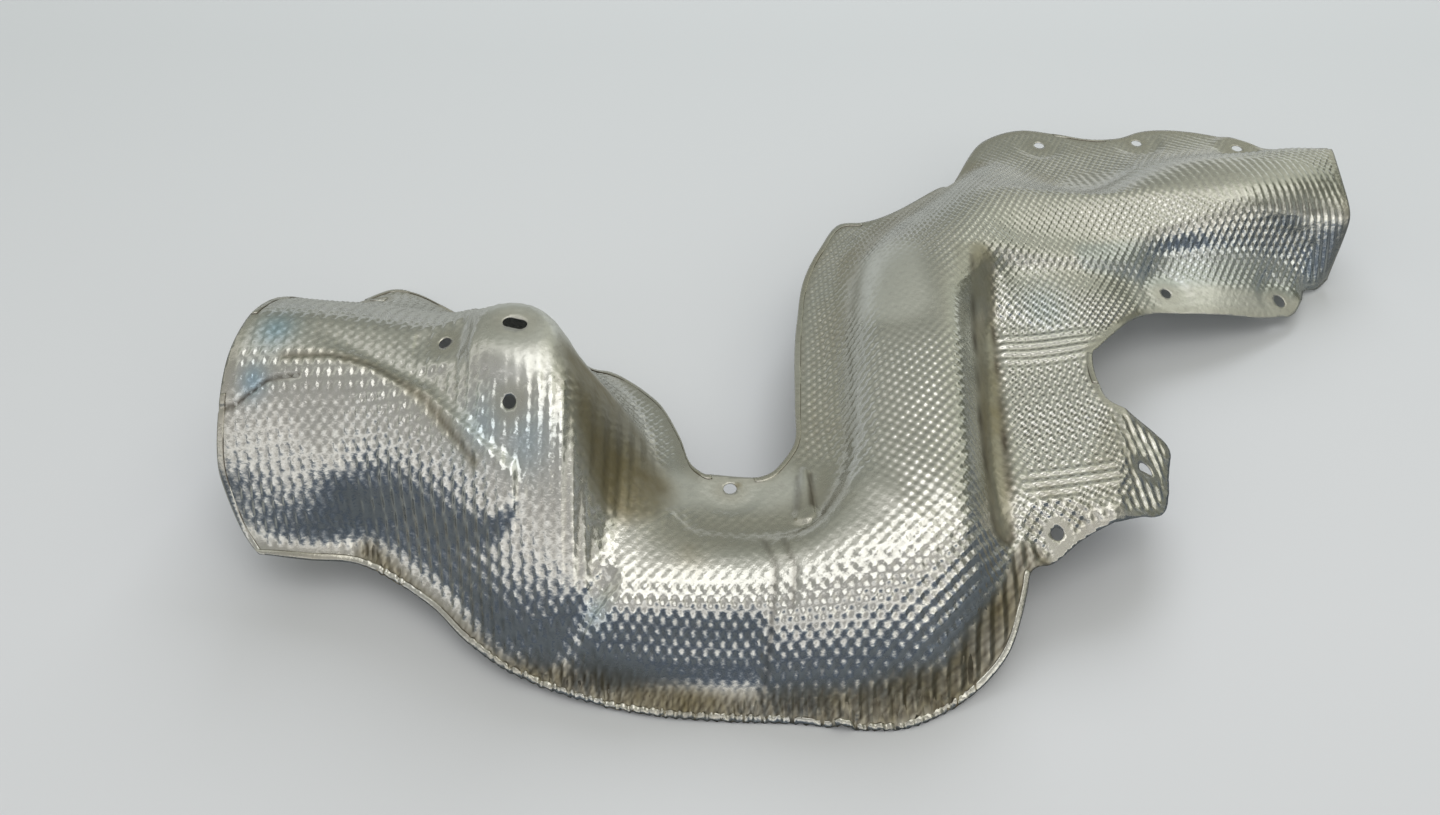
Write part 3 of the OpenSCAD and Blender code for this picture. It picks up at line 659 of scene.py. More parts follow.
def layer(step):
    """One layer of the sheet with squares of this size: its points, faces and edge points."""
    u0, v0 = to_lattice(edge_points[:, 0], edge_points[:, 1])
    iu = np.arange(math.floor(u0.min() / step) - 1, math.ceil(u0.max() / step) + 2)
    iv = np.arange(math.floor(v0.min() / step) - 1, math.ceil(v0.max() / step) + 2)
    gu, gv = (g.ravel() for g in np.meshgrid(iu * step, iv * step, indexing="ij"))
    x, y = from_lattice(gu, gv)
    z = dropped(x, y)
    ok = np.isfinite(z) & ~in_holes(x, y)
    for k in np.flatnonzero(ok):
        if edge_tree.find((x[k], y[k], 0))[2] < 0.55 * step:
            ok[k] = False
    z = seated(x, y, z + pressed(x, y))
    ok2 = ok.reshape(len(iu), len(iv))
    g = np.arange(len(x)).reshape(ok2.shape)
    whole = ok2[:-1, :-1] & ok2[1:, :-1] & ok2[1:, 1:] & ok2[:-1, 1:]
    squares = np.stack([g[:-1, :-1], g[1:, :-1], g[1:, 1:], g[:-1, 1:]], axis=-1)[whole]
    pad = np.pad(whole, 1)
    rim_u = pad[1:-1, :-1] != pad[1:-1, 1:]
    rim_v = pad[:-1, 1:-1] != pad[1:, 1:-1]
    (i, j), (k, m) = np.nonzero(rim_u), np.nonzero(rim_v)
    rim = np.column_stack([[*g[i, j], *g[k, m]], [*g[i + 1, j], *g[k, m + 1]]])
    points = np.column_stack([x, y, z])
    edge_rows = len(points) + np.arange(len(edge_points))
    rim_ids = np.unique(rim)
    flat = np.concatenate([points[rim_ids, :2], edge_points[:, :2]])
    small = np.searchsorted(rim_ids, rim)
    loop_edges, start = [], len(rim_ids)
    for lp in loops:
        ids = np.arange(len(lp)) + start
        loop_edges.append(np.column_stack([ids, np.roll(ids, -1)]))
        start += len(lp)
    edges = np.concatenate([small, *loop_edges])
    out = delaunay_2d_cdt([Vector(p) for p in flat.tolist()], edges.tolist(), [], 0, 1e-5, True)
    made = np.array([[v.x, v.y] for v in out[0]])
    tri = np.array([list(f) for f in out[2]])
    mid = made[tri].mean(1)
    tri = tri[odd(mid[:, 0], mid[:, 1], flat[edges[:, 0]], flat[edges[:, 1]])]
    all_points = np.concatenate([points, edge_points])
    full_id = np.concatenate([rim_ids, edge_rows])
    first = np.array([full_id[o[0]] if o else -1 for o in out[3]])
    lost = np.flatnonzero(first < 0)
    if len(lost):
        lx, ly = made[lost, 0], made[lost, 1]
        lz = height(lx, ly)
        lz = np.where(np.isfinite(lz), lz, 0)
        first[lost] = len(all_points) + np.arange(len(lost))
        all_points = np.concatenate([all_points, np.column_stack([lx, ly, lz])])
    tri = first[tri]
    used = np.unique(np.concatenate([squares.ravel(), tri.ravel(), edge_rows]))
    new_id = np.full(len(all_points), -1)
    new_id[used] = np.arange(len(used))
    p, squares, tri = all_points[used], new_id[squares], new_id[tri]
    up = np.cross(p[tri[:, 1]] - p[tri[:, 0]], p[tri[:, 2]] - p[tri[:, 0]])[:, 2] < 0
    tri[up] = tri[up][:, ::-1]
    edge_ids = new_id[edge_rows]
    print("layer of", step, "mm:", len(squares), "squares and", len(tri), "triangles")
    return p, squares, tri, edge_ids


upper = layer(PITCH / 4)
lower = layer(PITCH / 2)

# %% [markdown]
# ## Where the sheet was changed
# Chains of places say where the press flattened the knobs or drew them out into ridges, where
# handling left the metal satin, lightened as a painted sheen, or crisp, and where brown stain,
# soot and blue heat tint lie, with painted shade on some creases and sides and a painted
# reflection on the branch's wall.
# Each place of a chain is [x, y, half width]. It could be painted by hand, but chains follow
# the pressed features and can be moved with them.

# %% Chains of places
RUN_TOP = line(ELBOW, [[-85, -6, 10], [-20, -10, 14]])
RUN_CROWN = line(ELBOW, [[-96, -44, 9], [-30, -46, 12], [12, -28, 8]])
RUN_BACK = line(ELBOW, [[-80, -36, 6], [-30, -38, 6], [-10, -22, 6]])
POCKET_FLOOR = [[-104, -97, 4], [-48, -97, 4]]
HUMP_SIDE = [[-122, 30, 8], [-112, 12, 12], [-104, -14, 14]]
HUMP_FRONT = [[-158, 22, 12], [-150, -10, 18], [-142, -48, 20]]
HUMP_TOP = [[-180, 40, 8], [-160, 38, 16], [-138, 34, 8]]
RISER_SIDE = [[-14, 8, 6], [0, 64, 7], [8, 120, 7]]
RISER_WALL = [[79, 138, 2], [74, 81, 3], [68, 18, 3], [66, -34, 3]]
RISER_FACE = [[36, 62, 12], [34, 0, 14], [20, -24, 8]]
PLATEAU_TOP = [[34, 120, 14], [56, 97, 14], [40, 84, 6]]
STRIP = [[90, 140, 4], [85, 81, 4.5], [79, 18, 4.5], [77, -32, 3]]
PLATE_STREAKS = [[98, 84, 4], [150, 98, 4]]
PLATE_LOW = [[98, -8, 4], [138, 0, 4]]
PLATE_BLOCKS = [[100, 32, 9], [140, 40, 9]]
BRANCH_TOP = [[180, 232, 12], [250, 226, 14], [330, 224, 16]]
# A painted reflection: blue-grey along the branch's wall for the dark room it mirrors.
BRANCH_WALL_REFLECTION = [[160, 158, 5], [210, 168, 7], [300, 184, 8]]
BRANCH_FLANGE = [[214, 150, 9], [260, 152, 9], [305, 168, 7]]
REAR_FLANGE = [[120, 276, 10], [170, 292, 14], [250, 288, 12], [300, 276, 8]]
TAIL_STREAKS = [[318, 176, 9], [334, 200, 9]]
TAB_STAIN = line(BEND, [[112, -172, 5], [100, -205, 9], [98, -236, 7]])
# The front flange: its darker brown is partly stain and partly painted shade.
RIM_STAIN_AND_SHADE = [
    [-236, -34, 3], [-166, -90, 4], [-114, -100, 4], [-60, -108, 4],
    [0, -110, 5], [50, -98, 5], [84, -60, 6], [92, -46, 7],
]
LOW_WALL = [
    [-232, 4, 8], [-180, -38, 12], [-150, -74, 10], [-112, -84, 9],
    [0, -88, 10], [52, -70, 12], [86, -24, 10],
]
WALL_FOOT = [
    [-10, -18, 3], [0, 14, 3], [2, 60, 3], [8, 110, 3],
    [18, 158, 4], [44, 196, 5], [74, 222, 5], [110, 262, 5],
]


def edge_gap(x, y):
    """Distance from the nearest edge of the sheet or of a hole."""
    return np.array([edge_tree.find((a, b, 0))[2] for a, b in zip(x.tolist(), y.tolist())])


def near(chain, x, y, soft):
    """1 on a chain, falling to 0 within a soft distance of it."""
    return fades(0, soft, chain, x, y)


def strongest(table, x, y, least=0.0):
    """The strongest of a table's chains at each place. Its lines are chain, strength, softness."""
    for chain, strength, soft in table:
        least = np.maximum(least, strength * near(chain, x, y, soft))
    return least


def on_plate(x, y):
    return window(94, 190, 6, x) * window(-60, 130, 12, y)


def on_mouth(x):
    return 1 - ease(-175, -120, x)


# %% Knobs and ridges
FLATTENED = (
    (RUN_TOP, 0.85, 14), (RUN_CROWN, 0.7, 12), (STRIP, 0.85, 6), (PLATEAU_TOP, 0.85, 22),
    (HUMP_TOP, 0.8, 18), (POCKET_FLOOR, 0.6, 5), (RISER_WALL, 0.6, 8), (BRANCH_TOP, 0.45, 14),
    (REAR_FLANGE, 0.55, 10), (BRANCH_FLANGE, 0.72, 7),
)
RIDGED = (
    (HUMP_FRONT, 0.75, 12), (BULGE, 0.35, 8), (HUMP_SIDE, 0.8, 14), (RIM_STAIN_AND_SHADE, 1.0, 8),
    (BRANCH_TOP, 0.8, 12), (TAIL_STREAKS, 0.9, 5),
)


def knob_share(x, y, gap):
    """Height of the knobs: 1 where the rollers left them, less or more where the press did."""
    share = ease(2.5, 6.5, gap)
    for s in seats:
        from_hole = np.hypot(x - s.c[0], y - s.c[1]) - s.r
        share *= 0.15 + 0.85 * ease(1.5, 7, from_hole)
    share *= 1 + 0.35 * on_plate(x, y)
    share *= 1 + 0.5 * near(RISER_SIDE, x, y, 12) + 0.25 * near(PLATE_BLOCKS, x, y, 6)
    share *= 1 + 0.25 * on_mouth(x) + 0.15 * near(LOW_WALL, x, y, 12)
    share *= 1 + 0.5 * near(RIM_STAIN_AND_SHADE, x, y, 6)
    for chain, loss, soft in FLATTENED:
        share *= 1 - loss * near(chain, x, y, soft)
    return share


def ridge_share(x, y):
    """Up to 1 where stretching drew the knobs into ridges across the pipe, to -1 along it."""
    left = 0.38 * (1 - ease(0, 70, x + 0.3 * y)) + 0.27 * on_mouth(x)
    share = strongest(RIDGED, x, y, left)
    share = np.maximum(share, 0.95 * window(144, 230, 5, x) * window(-60, 46, 6, y))  # the tab
    share -= 0.3 * window(94, 150, 8, x) * window(-20, 130, 10, y)
    share -= 0.55 * near(PLATE_STREAKS, x, y, 15) + 0.45 * near(PLATE_LOW, x, y, 12)
    share += 0.8 * window(120, 146, 4, x) * window(-36, -8, 4, y)
    return share - 0.6 * near(BRANCH_FLANGE, x, y, 5)


# %% Rubbed places with painted sheen, stains, soot and painted shade
# Rubbed satin metal; its lighter colour there is a painted sheen.
SATIN_AND_SHEEN = (
    ([[200, 146, 7], [260, 150, 8], [300, 162, 6]], 1, 16),
    ([[-158, 56, 8], [-152, 44, 10], [-150, 26, 8]], 1, 16),
    ([[37, 140, 9], [36, 100, 11]], 1, 16),
    ([[-90, -8, 4], [-30, -8, 6]], 1, 16),
)
CRISP = ((LOW_WALL, 0.45, 12), (RIM_STAIN_AND_SHADE, 1, 6), (RISER_FACE, 0.2, 10), (TAIL_STREAKS, 0.7, 14))
# Brown stain, and painted shade at the mouth's crease and the hump's and riser's right sides
STAINS_AND_SHADE = (
    (TAB_STAIN, 0.3, 8), (STRIP, 0.85, 8), (HUMP_SIDE, 1.0, 14), (RISER_SIDE, 0.3, 10),
    (RISER_WALL, 0.2, 8), (RIM_STAIN_AND_SHADE, 0.95, 8), (MOUTH_CREASE, 0.6, 6), (RUN_BACK, 0.35, 14),
    (WALL_FOOT, 0.4, 7), (REAR_FLANGE, 0.12, 10),
)
# Dark lines in creases, the lap and the dart; painted shade at the mouth's crease and hump's side
SOOT_AND_SHADE_LINES = (
    (MOUTH_CREASE, 0.5, 2.2), (MOUTH_LAP, 0.9, 1.8), (HUMP_SIDE, 0.24, 14),
    ([[-15, -1, 0.3], [-15, -22, 0.8]], 0.7, 2), ([[-21, -2, 0.3], [-22, -24, 0.8]], 0.35, 2),
    *((crease, 0.45, 2.5) for crease in RUN_CREASES),
)
# Spots are x, y, radius and strength
SPOTS = (
    (-51, -6, 2.6, 1.0), (94, -27, 5, 0.7), (-74, -49, 9, 0.55), (88, 128, 6, 0.9),
    (150, 240, 10, 0.35), (-110, 30, 10, 0.35), (118, -22, 16, 0.4), (104, -12, 8, 0.4),
)
BLUE = (
    (125, 118, 16, 0.35), (-282, 52, 10, 1.0), (-290, 27, 7, 1.0), (-172, -6, 14, 0.55),
    (-150, -14, 12, 0.55), (320, 192, 9, 0.35), (-118, -76, 7, 0.6),
)


def blobs(x, y, spots):
    """Soft round spots, joined by the strongest."""
    out = np.zeros(np.shape(x))
    for sx, sy, r, k in spots:
        out = np.maximum(out, k * np.exp(-((x - sx) ** 2 + (y - sy) ** 2) / (r * r)))
    return out


def rub_and_sheen_share(x, y):
    """Above 0 where rubbed satin metal gets a painted sheen, below 0 where knobs stayed crisp."""
    satin_sheen = strongest(SATIN_AND_SHEEN, x, y)
    return satin_sheen - (1 - satin_sheen) * strongest(CRISP, x, y, on_plate(x, y))


def strip_dark_lines(x, y):
    """Two uneven dark lines along the sides of the groove's strip."""
    uneven = 0.55 + 0.3 * np.sin(y / 4.3 + x / 9) + 0.25 * np.sin(y / 11.0)
    return 0.8 * uneven * np.exp(-(((chain_gap(STRIP, x, y) - 2.5) / 1.8) ** 2)) * (y < 138)


def rim_dirt_and_fold_shade(x, y):
    """Dirt on the front flange, with painted shade between its small folds."""
    folds = np.sin(x * 1.7 + 2 * np.sin(y / 2.6)) * np.sin(x / 3.7 + y)
    return (0.36 + 0.45 * folds) * near(RIM_STAIN_AND_SHADE, x, y, 8)


def mark_shares(x, y, gap):
    """Brown stain, soot in the creases, painted shade, blue heat tint and a painted reflection."""
    brown_share = np.maximum(strongest(STAINS_AND_SHADE, x, y, 0.30 * (1 - ease(2, 9, gap))), blobs(x, y, SPOTS))
    soot_and_shade = strongest(SOOT_AND_SHADE_LINES, x, y, np.maximum(strip_dark_lines(x, y), rim_dirt_and_fold_shade(x, y)))
    # Heat tint in spots, and a painted reflection of the dark room on the branch's wall.
    blue = np.maximum(blobs(x, y, BLUE), 0.25 * near(BRANCH_WALL_REFLECTION, x, y, 8))
    return np.column_stack([brown_share, soot_and_shade, blue])


# %% [markdown]
# ## Both layers joined into one closed sheet
# The upper and lower layers share their outlines, so a narrow band of squares closes the
# sheet along its edge and through every hole. A Solidify modifier would be shorter, but here
# the hidden lower layer has fewer points.

# %% Closed sheet
METAL = 0.45  # the metal's own thickness; its knobs take up the rest of the sheet's millimetre
ORIGIN = np.array([SHIFT[0], SHIFT[1], 0.0])


def mesh_object(name, points, faces, floats, vectors):
    """A smooth mesh with these values and vectors stored at its points."""
    mesh = bpy.data.meshes.new(name)
    mesh.from_pydata(points.tolist(), [], faces)
    for stored, kind, field in ((floats, "FLOAT", "value"), (vectors, "FLOAT_VECTOR", "vector")):
        for key, values in stored.items():
            values = np.asarray(values, np.float32).ravel()
            mesh.attributes.new(key, kind, "POINT").data.foreach_set(field, values)
    mesh.shade_smooth()
    obj = bpy.data.objects.new(name, mesh)
    bpy.context.scene.collection.objects.link(obj)
    return obj


def close_sheet(upper, lower):
    """Both layers and the bands between them, with what the material and the embossing need."""
    pu, su, tu, eu = upper
    pl, sl, tl, el = lower
    nu, nl = net_normals(pu, [su, tu]), net_normals(pl, [sl, tl])
    points = np.concatenate([pu - nu * SHEET_T / 2, pl - nl * SHEET_T / 2])
    side = np.concatenate([np.ones(len(pu)), -np.ones(len(pl))])
    base = len(pu)
    faces = su.tolist() + tu.tolist()
    faces += (sl[:, ::-1] + base).tolist() + (tl[:, ::-1] + base).tolist()
    start = 0
    for k, lp in enumerate(loops):
        ids = np.arange(len(lp)) + start
        nxt = np.roll(ids, -1)
        band = np.column_stack([eu[ids], eu[nxt], el[nxt] + base, el[ids] + base])
        area = (lp[:, 0] * np.roll(lp[:, 1], -1) - np.roll(lp[:, 0], -1) * lp[:, 1]).sum()
        outward = (area > 0) == (k == 0)
        faces += (band[:, ::-1] if outward else band).tolist()
        start += len(lp)
    x, y = points[:, 0], points[:, 1]
    gap = edge_gap(x, y)
    floats = {"side": side, "ridge": ridge_share(x, y), "rub_and_sheen": rub_and_sheen_share(x, y)}
    vectors = {
        "sheet_normal": np.concatenate([nu, nl]),
        "lattice": np.column_stack([*to_lattice(x, y), knob_share(x, y, gap)]),
        "marks": mark_shares(x, y, gap),
    }
    return points, faces, floats, vectors


points, faces, floats, vectors = close_sheet(upper, lower)
sheet = mesh_object("sheet", (points - ORIGIN) * MM, faces, floats, vectors)
print("the sheet has", len(faces), "faces before embossing")

# %% [markdown]
# ## Embossing
# A Geometry Nodes tree presses the knobs: it moves every point along the sheet's own normal
# by half the metal's thickness and by a wave with one high and one low knob in each pitch.
# A bump in the material alone would leave the edges and the knobs' shadows smooth.

# %% Reckoning with nodes


class Value:
    """What a node gives. Reckoning with it adds nodes to its tree."""

    def __init__(self, node, output=0):
        self.tree, self.socket = node.id_data, node.outputs[output]

    def __add__(self, other):
        return maths("ADD", self, other)

    def __sub__(self, other):
        return maths("SUBTRACT", self, other)

    def __rsub__(self, other):
        return maths("SUBTRACT", other, self)

    def __mul__(self, other):
        return maths("MULTIPLY", self, other)

    def __rtruediv__(self, other):
        return maths("DIVIDE", other, self)


def fill(node, values):
    """Wires values into a node's inputs, or sets plain ones, by name or number."""
    for key, value in values.items():
        if isinstance(value, Value):
            node.id_data.links.new(value.socket, node.inputs[key])
        else:
            node.inputs[key].default_value = value


def add(tree, kind, values=None, **settings):
    """A new node with these settings and inputs."""
    node = tree.nodes.new(kind)
    for key, value in settings.items():
        setattr(node, key, value)
    fill(node, values or {})
    return node


def tree_of(*values):
    return next(v.tree for v in values if isinstance(v, Value))


def maths(operation, *values):
    node = add(tree_of(*values), "ShaderNodeMath", dict(enumerate(values)), operation=operation)
    return Value(node)


def above_zero(value):
    return maths("MAXIMUM", value, 0.0)


def split(vector):
    node = add(vector.tree, "ShaderNodeSeparateXYZ", {0: vector})
    return [Value(node, k) for k in range(3)]


def attribute(tree, name, kind):
    node = add(tree, "GeometryNodeInputNamedAttribute", {"Name": name}, data_type=kind)
    return Value(node, "Attribute")


def drawn_wave(u, v, turn, ridge):
    """A wave with knobs on the lattice, drawn out into ridges by the ridge share."""
    wave_u, wave_v = maths("COSINE", u * turn), maths("COSINE", v * turn)
    knobs = wave_u * wave_v * (1.0 - maths("ABSOLUTE", ridge))
    ridges = wave_u * above_zero(ridge) + wave_v * above_zero(ridge * -1.0)
    return knobs + ridges * 0.7


# %% Embossing tree
SETTINGS = {"Pitch": PITCH, "Knob height": 0.50, "Half metal": METAL / 2, "Unevenness": 0.8}


def embossing_tree(material):
    tree = bpy.data.node_groups.new("Embossing", "GeometryNodeTree")
    face = tree.interface
    face.new_socket("Geometry", in_out="INPUT", socket_type="NodeSocketGeometry")
    for name, value in SETTINGS.items():
        socket = face.new_socket(name, in_out="INPUT", socket_type="NodeSocketFloat")
        socket.default_value = value
    face.new_socket("Geometry", in_out="OUTPUT", socket_type="NodeSocketGeometry")
    given = add(tree, "NodeGroupInput")
    pitch, knob_height, half_metal, unevenness = (Value(given, name) for name in SETTINGS)
    u, v, share = split(attribute(tree, "lattice", "FLOAT_VECTOR"))
    wave = drawn_wave(u, v, 2 * math.pi / pitch, attribute(tree, "ridge", "FLOAT"))
    cloud = Value(add(tree, "ShaderNodeTexNoise", {"Scale": 70.0, "Detail": 3.0}))
    strength = share * ((cloud - 0.5) * unevenness * 2.0 + 1.0)
    metal = attribute(tree, "side", "FLOAT") * half_metal
    shift = {0: attribute(tree, "sheet_normal", "FLOAT_VECTOR")}
    shift["Scale"] = (wave * strength * knob_height + metal) * MM
    shift = add(tree, "ShaderNodeVectorMath", shift, operation="SCALE")

    kept = {"Name": "relief", "Geometry": Value(given, "Geometry"), "Value": wave * share}
    store = add(tree, "GeometryNodeStoreNamedAttribute", kept, data_type="FLOAT", domain="POINT")
    moved = {"Geometry": Value(store, "Geometry"), "Offset": Value(shift)}
    move = add(tree, "GeometryNodeSetPosition", moved)
    real = add(tree, "GeometryNodeRealizeInstances", {0: Value(move)})
    coat = {"Geometry": Value(real), "Material": material}
    add(tree, "NodeGroupOutput", {0: Value(add(tree, "GeometryNodeSetMaterial", coat))})
    return tree


def through(tree, obj):
    """Runs a Geometry Nodes tree on an object and keeps the result as its plain mesh."""
    modifier = obj.modifiers.new(tree.name, "NODES")
    modifier.node_group = tree
    graph = bpy.context.evaluated_depsgraph_get()
    mesh = bpy.data.meshes.new_from_object(obj.evaluated_get(graph), depsgraph=graph)
    obj.modifiers.clear()
    obj.data = mesh
    return obj


# %% [markdown]
# ## Aluminium
# The metal is bright but dulled by heat: a little green-grey on top of the knobs, brown in
# the stains and between the knobs, with fine scratches that break up its shine. Its colour
# also holds a painted sheen on rubbed places, painted shade in creases and on right-facing
# sides, and a painted reflection on the branch's wall. One material mixes them by the shares
# stored on the mesh, so no picture is needed.

# %% Textures and mixes


def noise(coords, scale, detail, rough):
    values = {"Vector": coords, "Scale": scale, "Detail": detail, "Roughness": rough}
    return Value(add(coords.tree, "ShaderNodeTexNoise", values))


def mix_colour(factor, a, b, blend="MIX"):
    values = {"Factor": factor, 6: a, 7: b}
    node = add(tree_of(factor, a, b), "ShaderNodeMix", values, data_type="RGBA", blend_type=blend)
    return Value(node, 2)


def ramp(value, stops):
    """Colours along a value; each stop is its place and then red, green and blue."""
    node = add(value.tree, "ShaderNodeValToRGB", {0: value})
    bar = node.color_ramp.elements
    while len(bar) < len(stops):
        bar.new(0.5)
    for element, (place, *colour) in zip(bar, stops):
        element.position = place
        element.color = (*colour, 1)
    return Value(node)


def black_to_white(value, start, end):
    return ramp(value, [(start, 0, 0, 0), (end, 1, 1, 1)])


def stored(tree, name, output="Fac"):
    """What a mesh holds under this name, for its material."""
    return Value(add(tree, "ShaderNodeAttribute", attribute_name=name), output)


# %% Metal material
DULL, BRIGHT = (0.66, 0.665, 0.635, 1), (0.76, 0.755, 0.725, 1)
SATIN_SHEEN_METAL, CRISP_METAL = (0.88, 0.89, 0.86, 1), (0.86, 0.86, 0.84, 1)
GRIME, BROWN_STAIN_AND_SHADE = (0.36, 0.34, 0.29, 1), (0.345, 0.303, 0.19, 1)
HEAT_BLUE_AND_REFLECTION, SOOT_AND_SHADE_BLACK = (0.42, 0.60, 0.74, 1), (0.075, 0.055, 0.035, 1)
SPECKS = (0.30, 0.29, 0.27, 1)


def metal_material():
    mat = bpy.data.materials.new("heat_shield_aluminium")
    mat.use_nodes = True
    tree = mat.node_tree
    coords = Value(add(tree, "ShaderNodeTexCoord"), "Object")
    brown_share, soot_and_shade, blue = split(stored(tree, "marks", "Vector"))
    rub_and_sheen = stored(tree, "rub_and_sheen")
    satin_sheen, sharp = above_zero(rub_and_sheen), above_zero(rub_and_sheen * -1.0) * 0.3
    cloud = black_to_white(noise(coords, 22, 4, 0.6), 0.35, 0.7)
    speck = black_to_white(noise(coords, 260, 3, 0.6), 0.5, 0.75)
    brown = brown_share * (cloud * 0.6 + 0.55)
    dirt = (0.4 - stored(tree, "relief")) * 0.5 * (cloud * 0.5 + 0.25)

    # Colour, from the clean metal to what lies on it, with painted sheen, shade and reflection
    colour = mix_colour(cloud, DULL, BRIGHT)
    for share, over in (
        (satin_sheen * 0.8, SATIN_SHEEN_METAL), (sharp * 2.0, CRISP_METAL), (dirt, GRIME),
        (blue * 0.8, HEAT_BLUE_AND_REFLECTION), (brown, BROWN_STAIN_AND_SHADE), (soot_and_shade, SOOT_AND_SHADE_BLACK), (speck * 0.25, SPECKS),
    ):
        colour = mix_colour(share, colour, over)
    rough = brown * 0.26 + (soot_and_shade + dirt) * 0.2 + 0.17 + satin_sheen * 0.2 + speck * 0.10

    # Crisp knobs, small dents and fine scratches
    u, v, share = split(stored(tree, "lattice", "Vector"))
    crisp = drawn_wave(u, v, 2 * math.pi / PITCH, stored(tree, "ridge")) * share
    dents = noise(coords, 330, 2, 0.5) * 0.26
    scratches = noise(coords, 1400, 3, 0.6) * 0.03
    relief = crisp * (sharp + 0.13) + dents + scratches
    bump = add(tree, "ShaderNodeBump", {"Strength": 1.0, "Distance": MM, "Height": relief})
    looks = {"Base Color": colour, "Metallic": 1.0, "Roughness": rough, "Normal": Value(bump)}
    fill(tree.nodes["Principled BSDF"], looks)
    return mat


metal = metal_material()
sheet = through(embossing_tree(metal), sheet)
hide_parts("shield")
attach(sheet, "root")
print("embossed sheet:", len(sheet.data.polygons), "faces")

# %% [markdown]
# ## Hems
# Along most of the edge the sheet is folded over on itself. The fold has a round outer side
# and a soft inner lip, and its knobs were squashed into faint ripples. Each hem is a swept
# strip of its own, because it needs other points than the knobs do.

# %% Shape of a hem
# Places across the folded hem: distance in from the edge, and height over the sheet's middle
HEM_PROFILE = [
    (0.7, -0.40), (0.25, -0.32), (0.08, 0.0), (0.25, 0.42), (0.8, 0.62),
    (1.9, 0.66), (2.9, 0.60), (3.4, 0.42), (3.5, 0.05),
]
RIPPLED_ABOVE = 0.5


def hem_marks(run, m, seed):
    """Light metal on the fold, with a broken line of painted shade in the gap at its inner lip."""
    s = np.repeat(run, m)
    inner = np.tile((np.arange(m) >= m - 2).astype(float), len(run))
    broken = ease(-0.55, 0.1, np.sin(s / 6.3 + seed) + 0.6 * np.sin(s / 2.9 + 2 * seed))
    brown_share = 0.10 + 0.35 * np.abs(np.sin(s / 41.0 + seed))
    # The middle share is painted shade in the gap at the lip.
    return np.column_stack([brown_share, 0.9 * inner * broken, 0 * s])


def hem_strip(name, edge, inner, seed):
    """A folded strip on an edge line; inner is the same line 6 mm further in."""
    rng = np.random.default_rng(seed)
    inward = inner - edge
    inward /= np.maximum(np.linalg.norm(inward, axis=1), 1e-6)[:, None]
    along = np.gradient(edge, axis=0)
    up = np.cross(along, inward)
    up /= np.maximum(np.linalg.norm(up, axis=1), 1e-9)[:, None]
    up *= np.sign(up[:, 2:3] + 1e-9)
    run = arc(edge)
    ripple = 0.10 * np.cos(2 * math.pi * run / (PITCH / 2)) + 0.05 * np.sin(run / 3.1 + seed)
    spans = np.arange(0, run[-1] + 12, 9)
    random = np.interp(run, spans, rng.normal(0, 1, len(spans)))
    width = 1 + 0.05 * np.sin(run / 23.0 + seed) + 0.03 * random
    mid = edge - up * SHEET_T / 2
    pts = []
    for d, h in HEM_PROFILE:
        rise = h + ripple * (h > RIPPLED_ABOVE)
        pts.append(mid + inward * (d * width)[:, None] + up * rise[:, None])
    pts = np.stack(pts, axis=1)
    n, m = pts.shape[:2]
    ids = np.arange(n * m).reshape(n, m)
    f = np.stack([ids[:-1, :-1], ids[:-1, 1:], ids[1:, 1:], ids[1:, :-1]], axis=-1)
    f = f.reshape(-1, 4).tolist() + [ids[0, ::-1].tolist(), ids[-1].tolist()]
    flat = pts.reshape(-1, 3)
    floats = {"relief": np.full(len(flat), 0.5)}
    obj = mesh_object(name, (flat - ORIGIN) * MM, f, floats, {"marks": hem_marks(run, m, seed)})
    obj.data.materials.append(metal)
    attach(obj, "root")
    return obj


def even_pair(edge, inner, step=1.2):
    """The same two lines with even steps along the edge."""
    run = arc(edge)
    goal = np.linspace(0, run[-1], max(3, round(run[-1] / step)) + 1)
    return [resample(p, run, goal) for p in (edge, inner)]


# %% Hems
# Stations between which each edge is hemmed
FRONT_HEMS = [(0, 549), (709, 741)]
REAR_HEMS = [(0, 381), (401, 741), (970, 1009)]
count = 0
for j, inward, spans in ((0, 3, FRONT_HEMS), (-1, -4, REAR_HEMS)):
    for a, b in spans:
        ids = np.flatnonzero((STATIONS >= a) & (STATIONS <= b))
        edge, inner = lifted(rows[ids, j]), lifted(rows[ids, inward])
        count += 1
        hem_strip("hem_" + str(count), *even_pair(edge, inner), seed=count)
# The mouth's end has two hems, on either side of the overlap
end, end_in = lifted(rows[0]), lifted(rows[2])
for low, high in ((-200, -36), (2, 200)):
    ids = np.flatnonzero((end[:, 1] - MOUTH[1] > low) & (end[:, 1] - MOUTH[1] < high))
    count += 1
    hem_strip("hem_" + str(count), *even_pair(end[ids], end_in[ids]), seed=count)
print(count, "hems")

# %% [markdown]
# ## Table, light and camera
# The table is pale, with painted shade that darkens it towards the back, and where the metal
# mirrors it near the camera it is painted darker, a painted shadow in the reflection. The part
# is lit as in a photo tent: a bright band of the room gives the cream stripes, a dull ceiling
# the grey-green of the level metal, and the dark side low behind the camera the blue-grey walls.

# %% Table
FLOOR = 6.0
corners = [(-FLOOR, -FLOOR, 0), (FLOOR, -FLOOR, 0), (FLOOR, FLOOR, 0), (-FLOOR, FLOOR, 0)]
mesh = bpy.data.meshes.new("table")
mesh.from_pydata(corners, [], [(0, 1, 2, 3)])
table = bpy.data.objects.new("table", mesh)
bpy.context.scene.collection.objects.link(table)
table_mat = bpy.data.materials.new("table")
table_mat.use_nodes = True
tree = table_mat.node_tree
x, y, _ = split(Value(add(tree, "ShaderNodeTexCoord"), "Object"))
behind = (y - x * 0.35) * 8.0 + 0.65
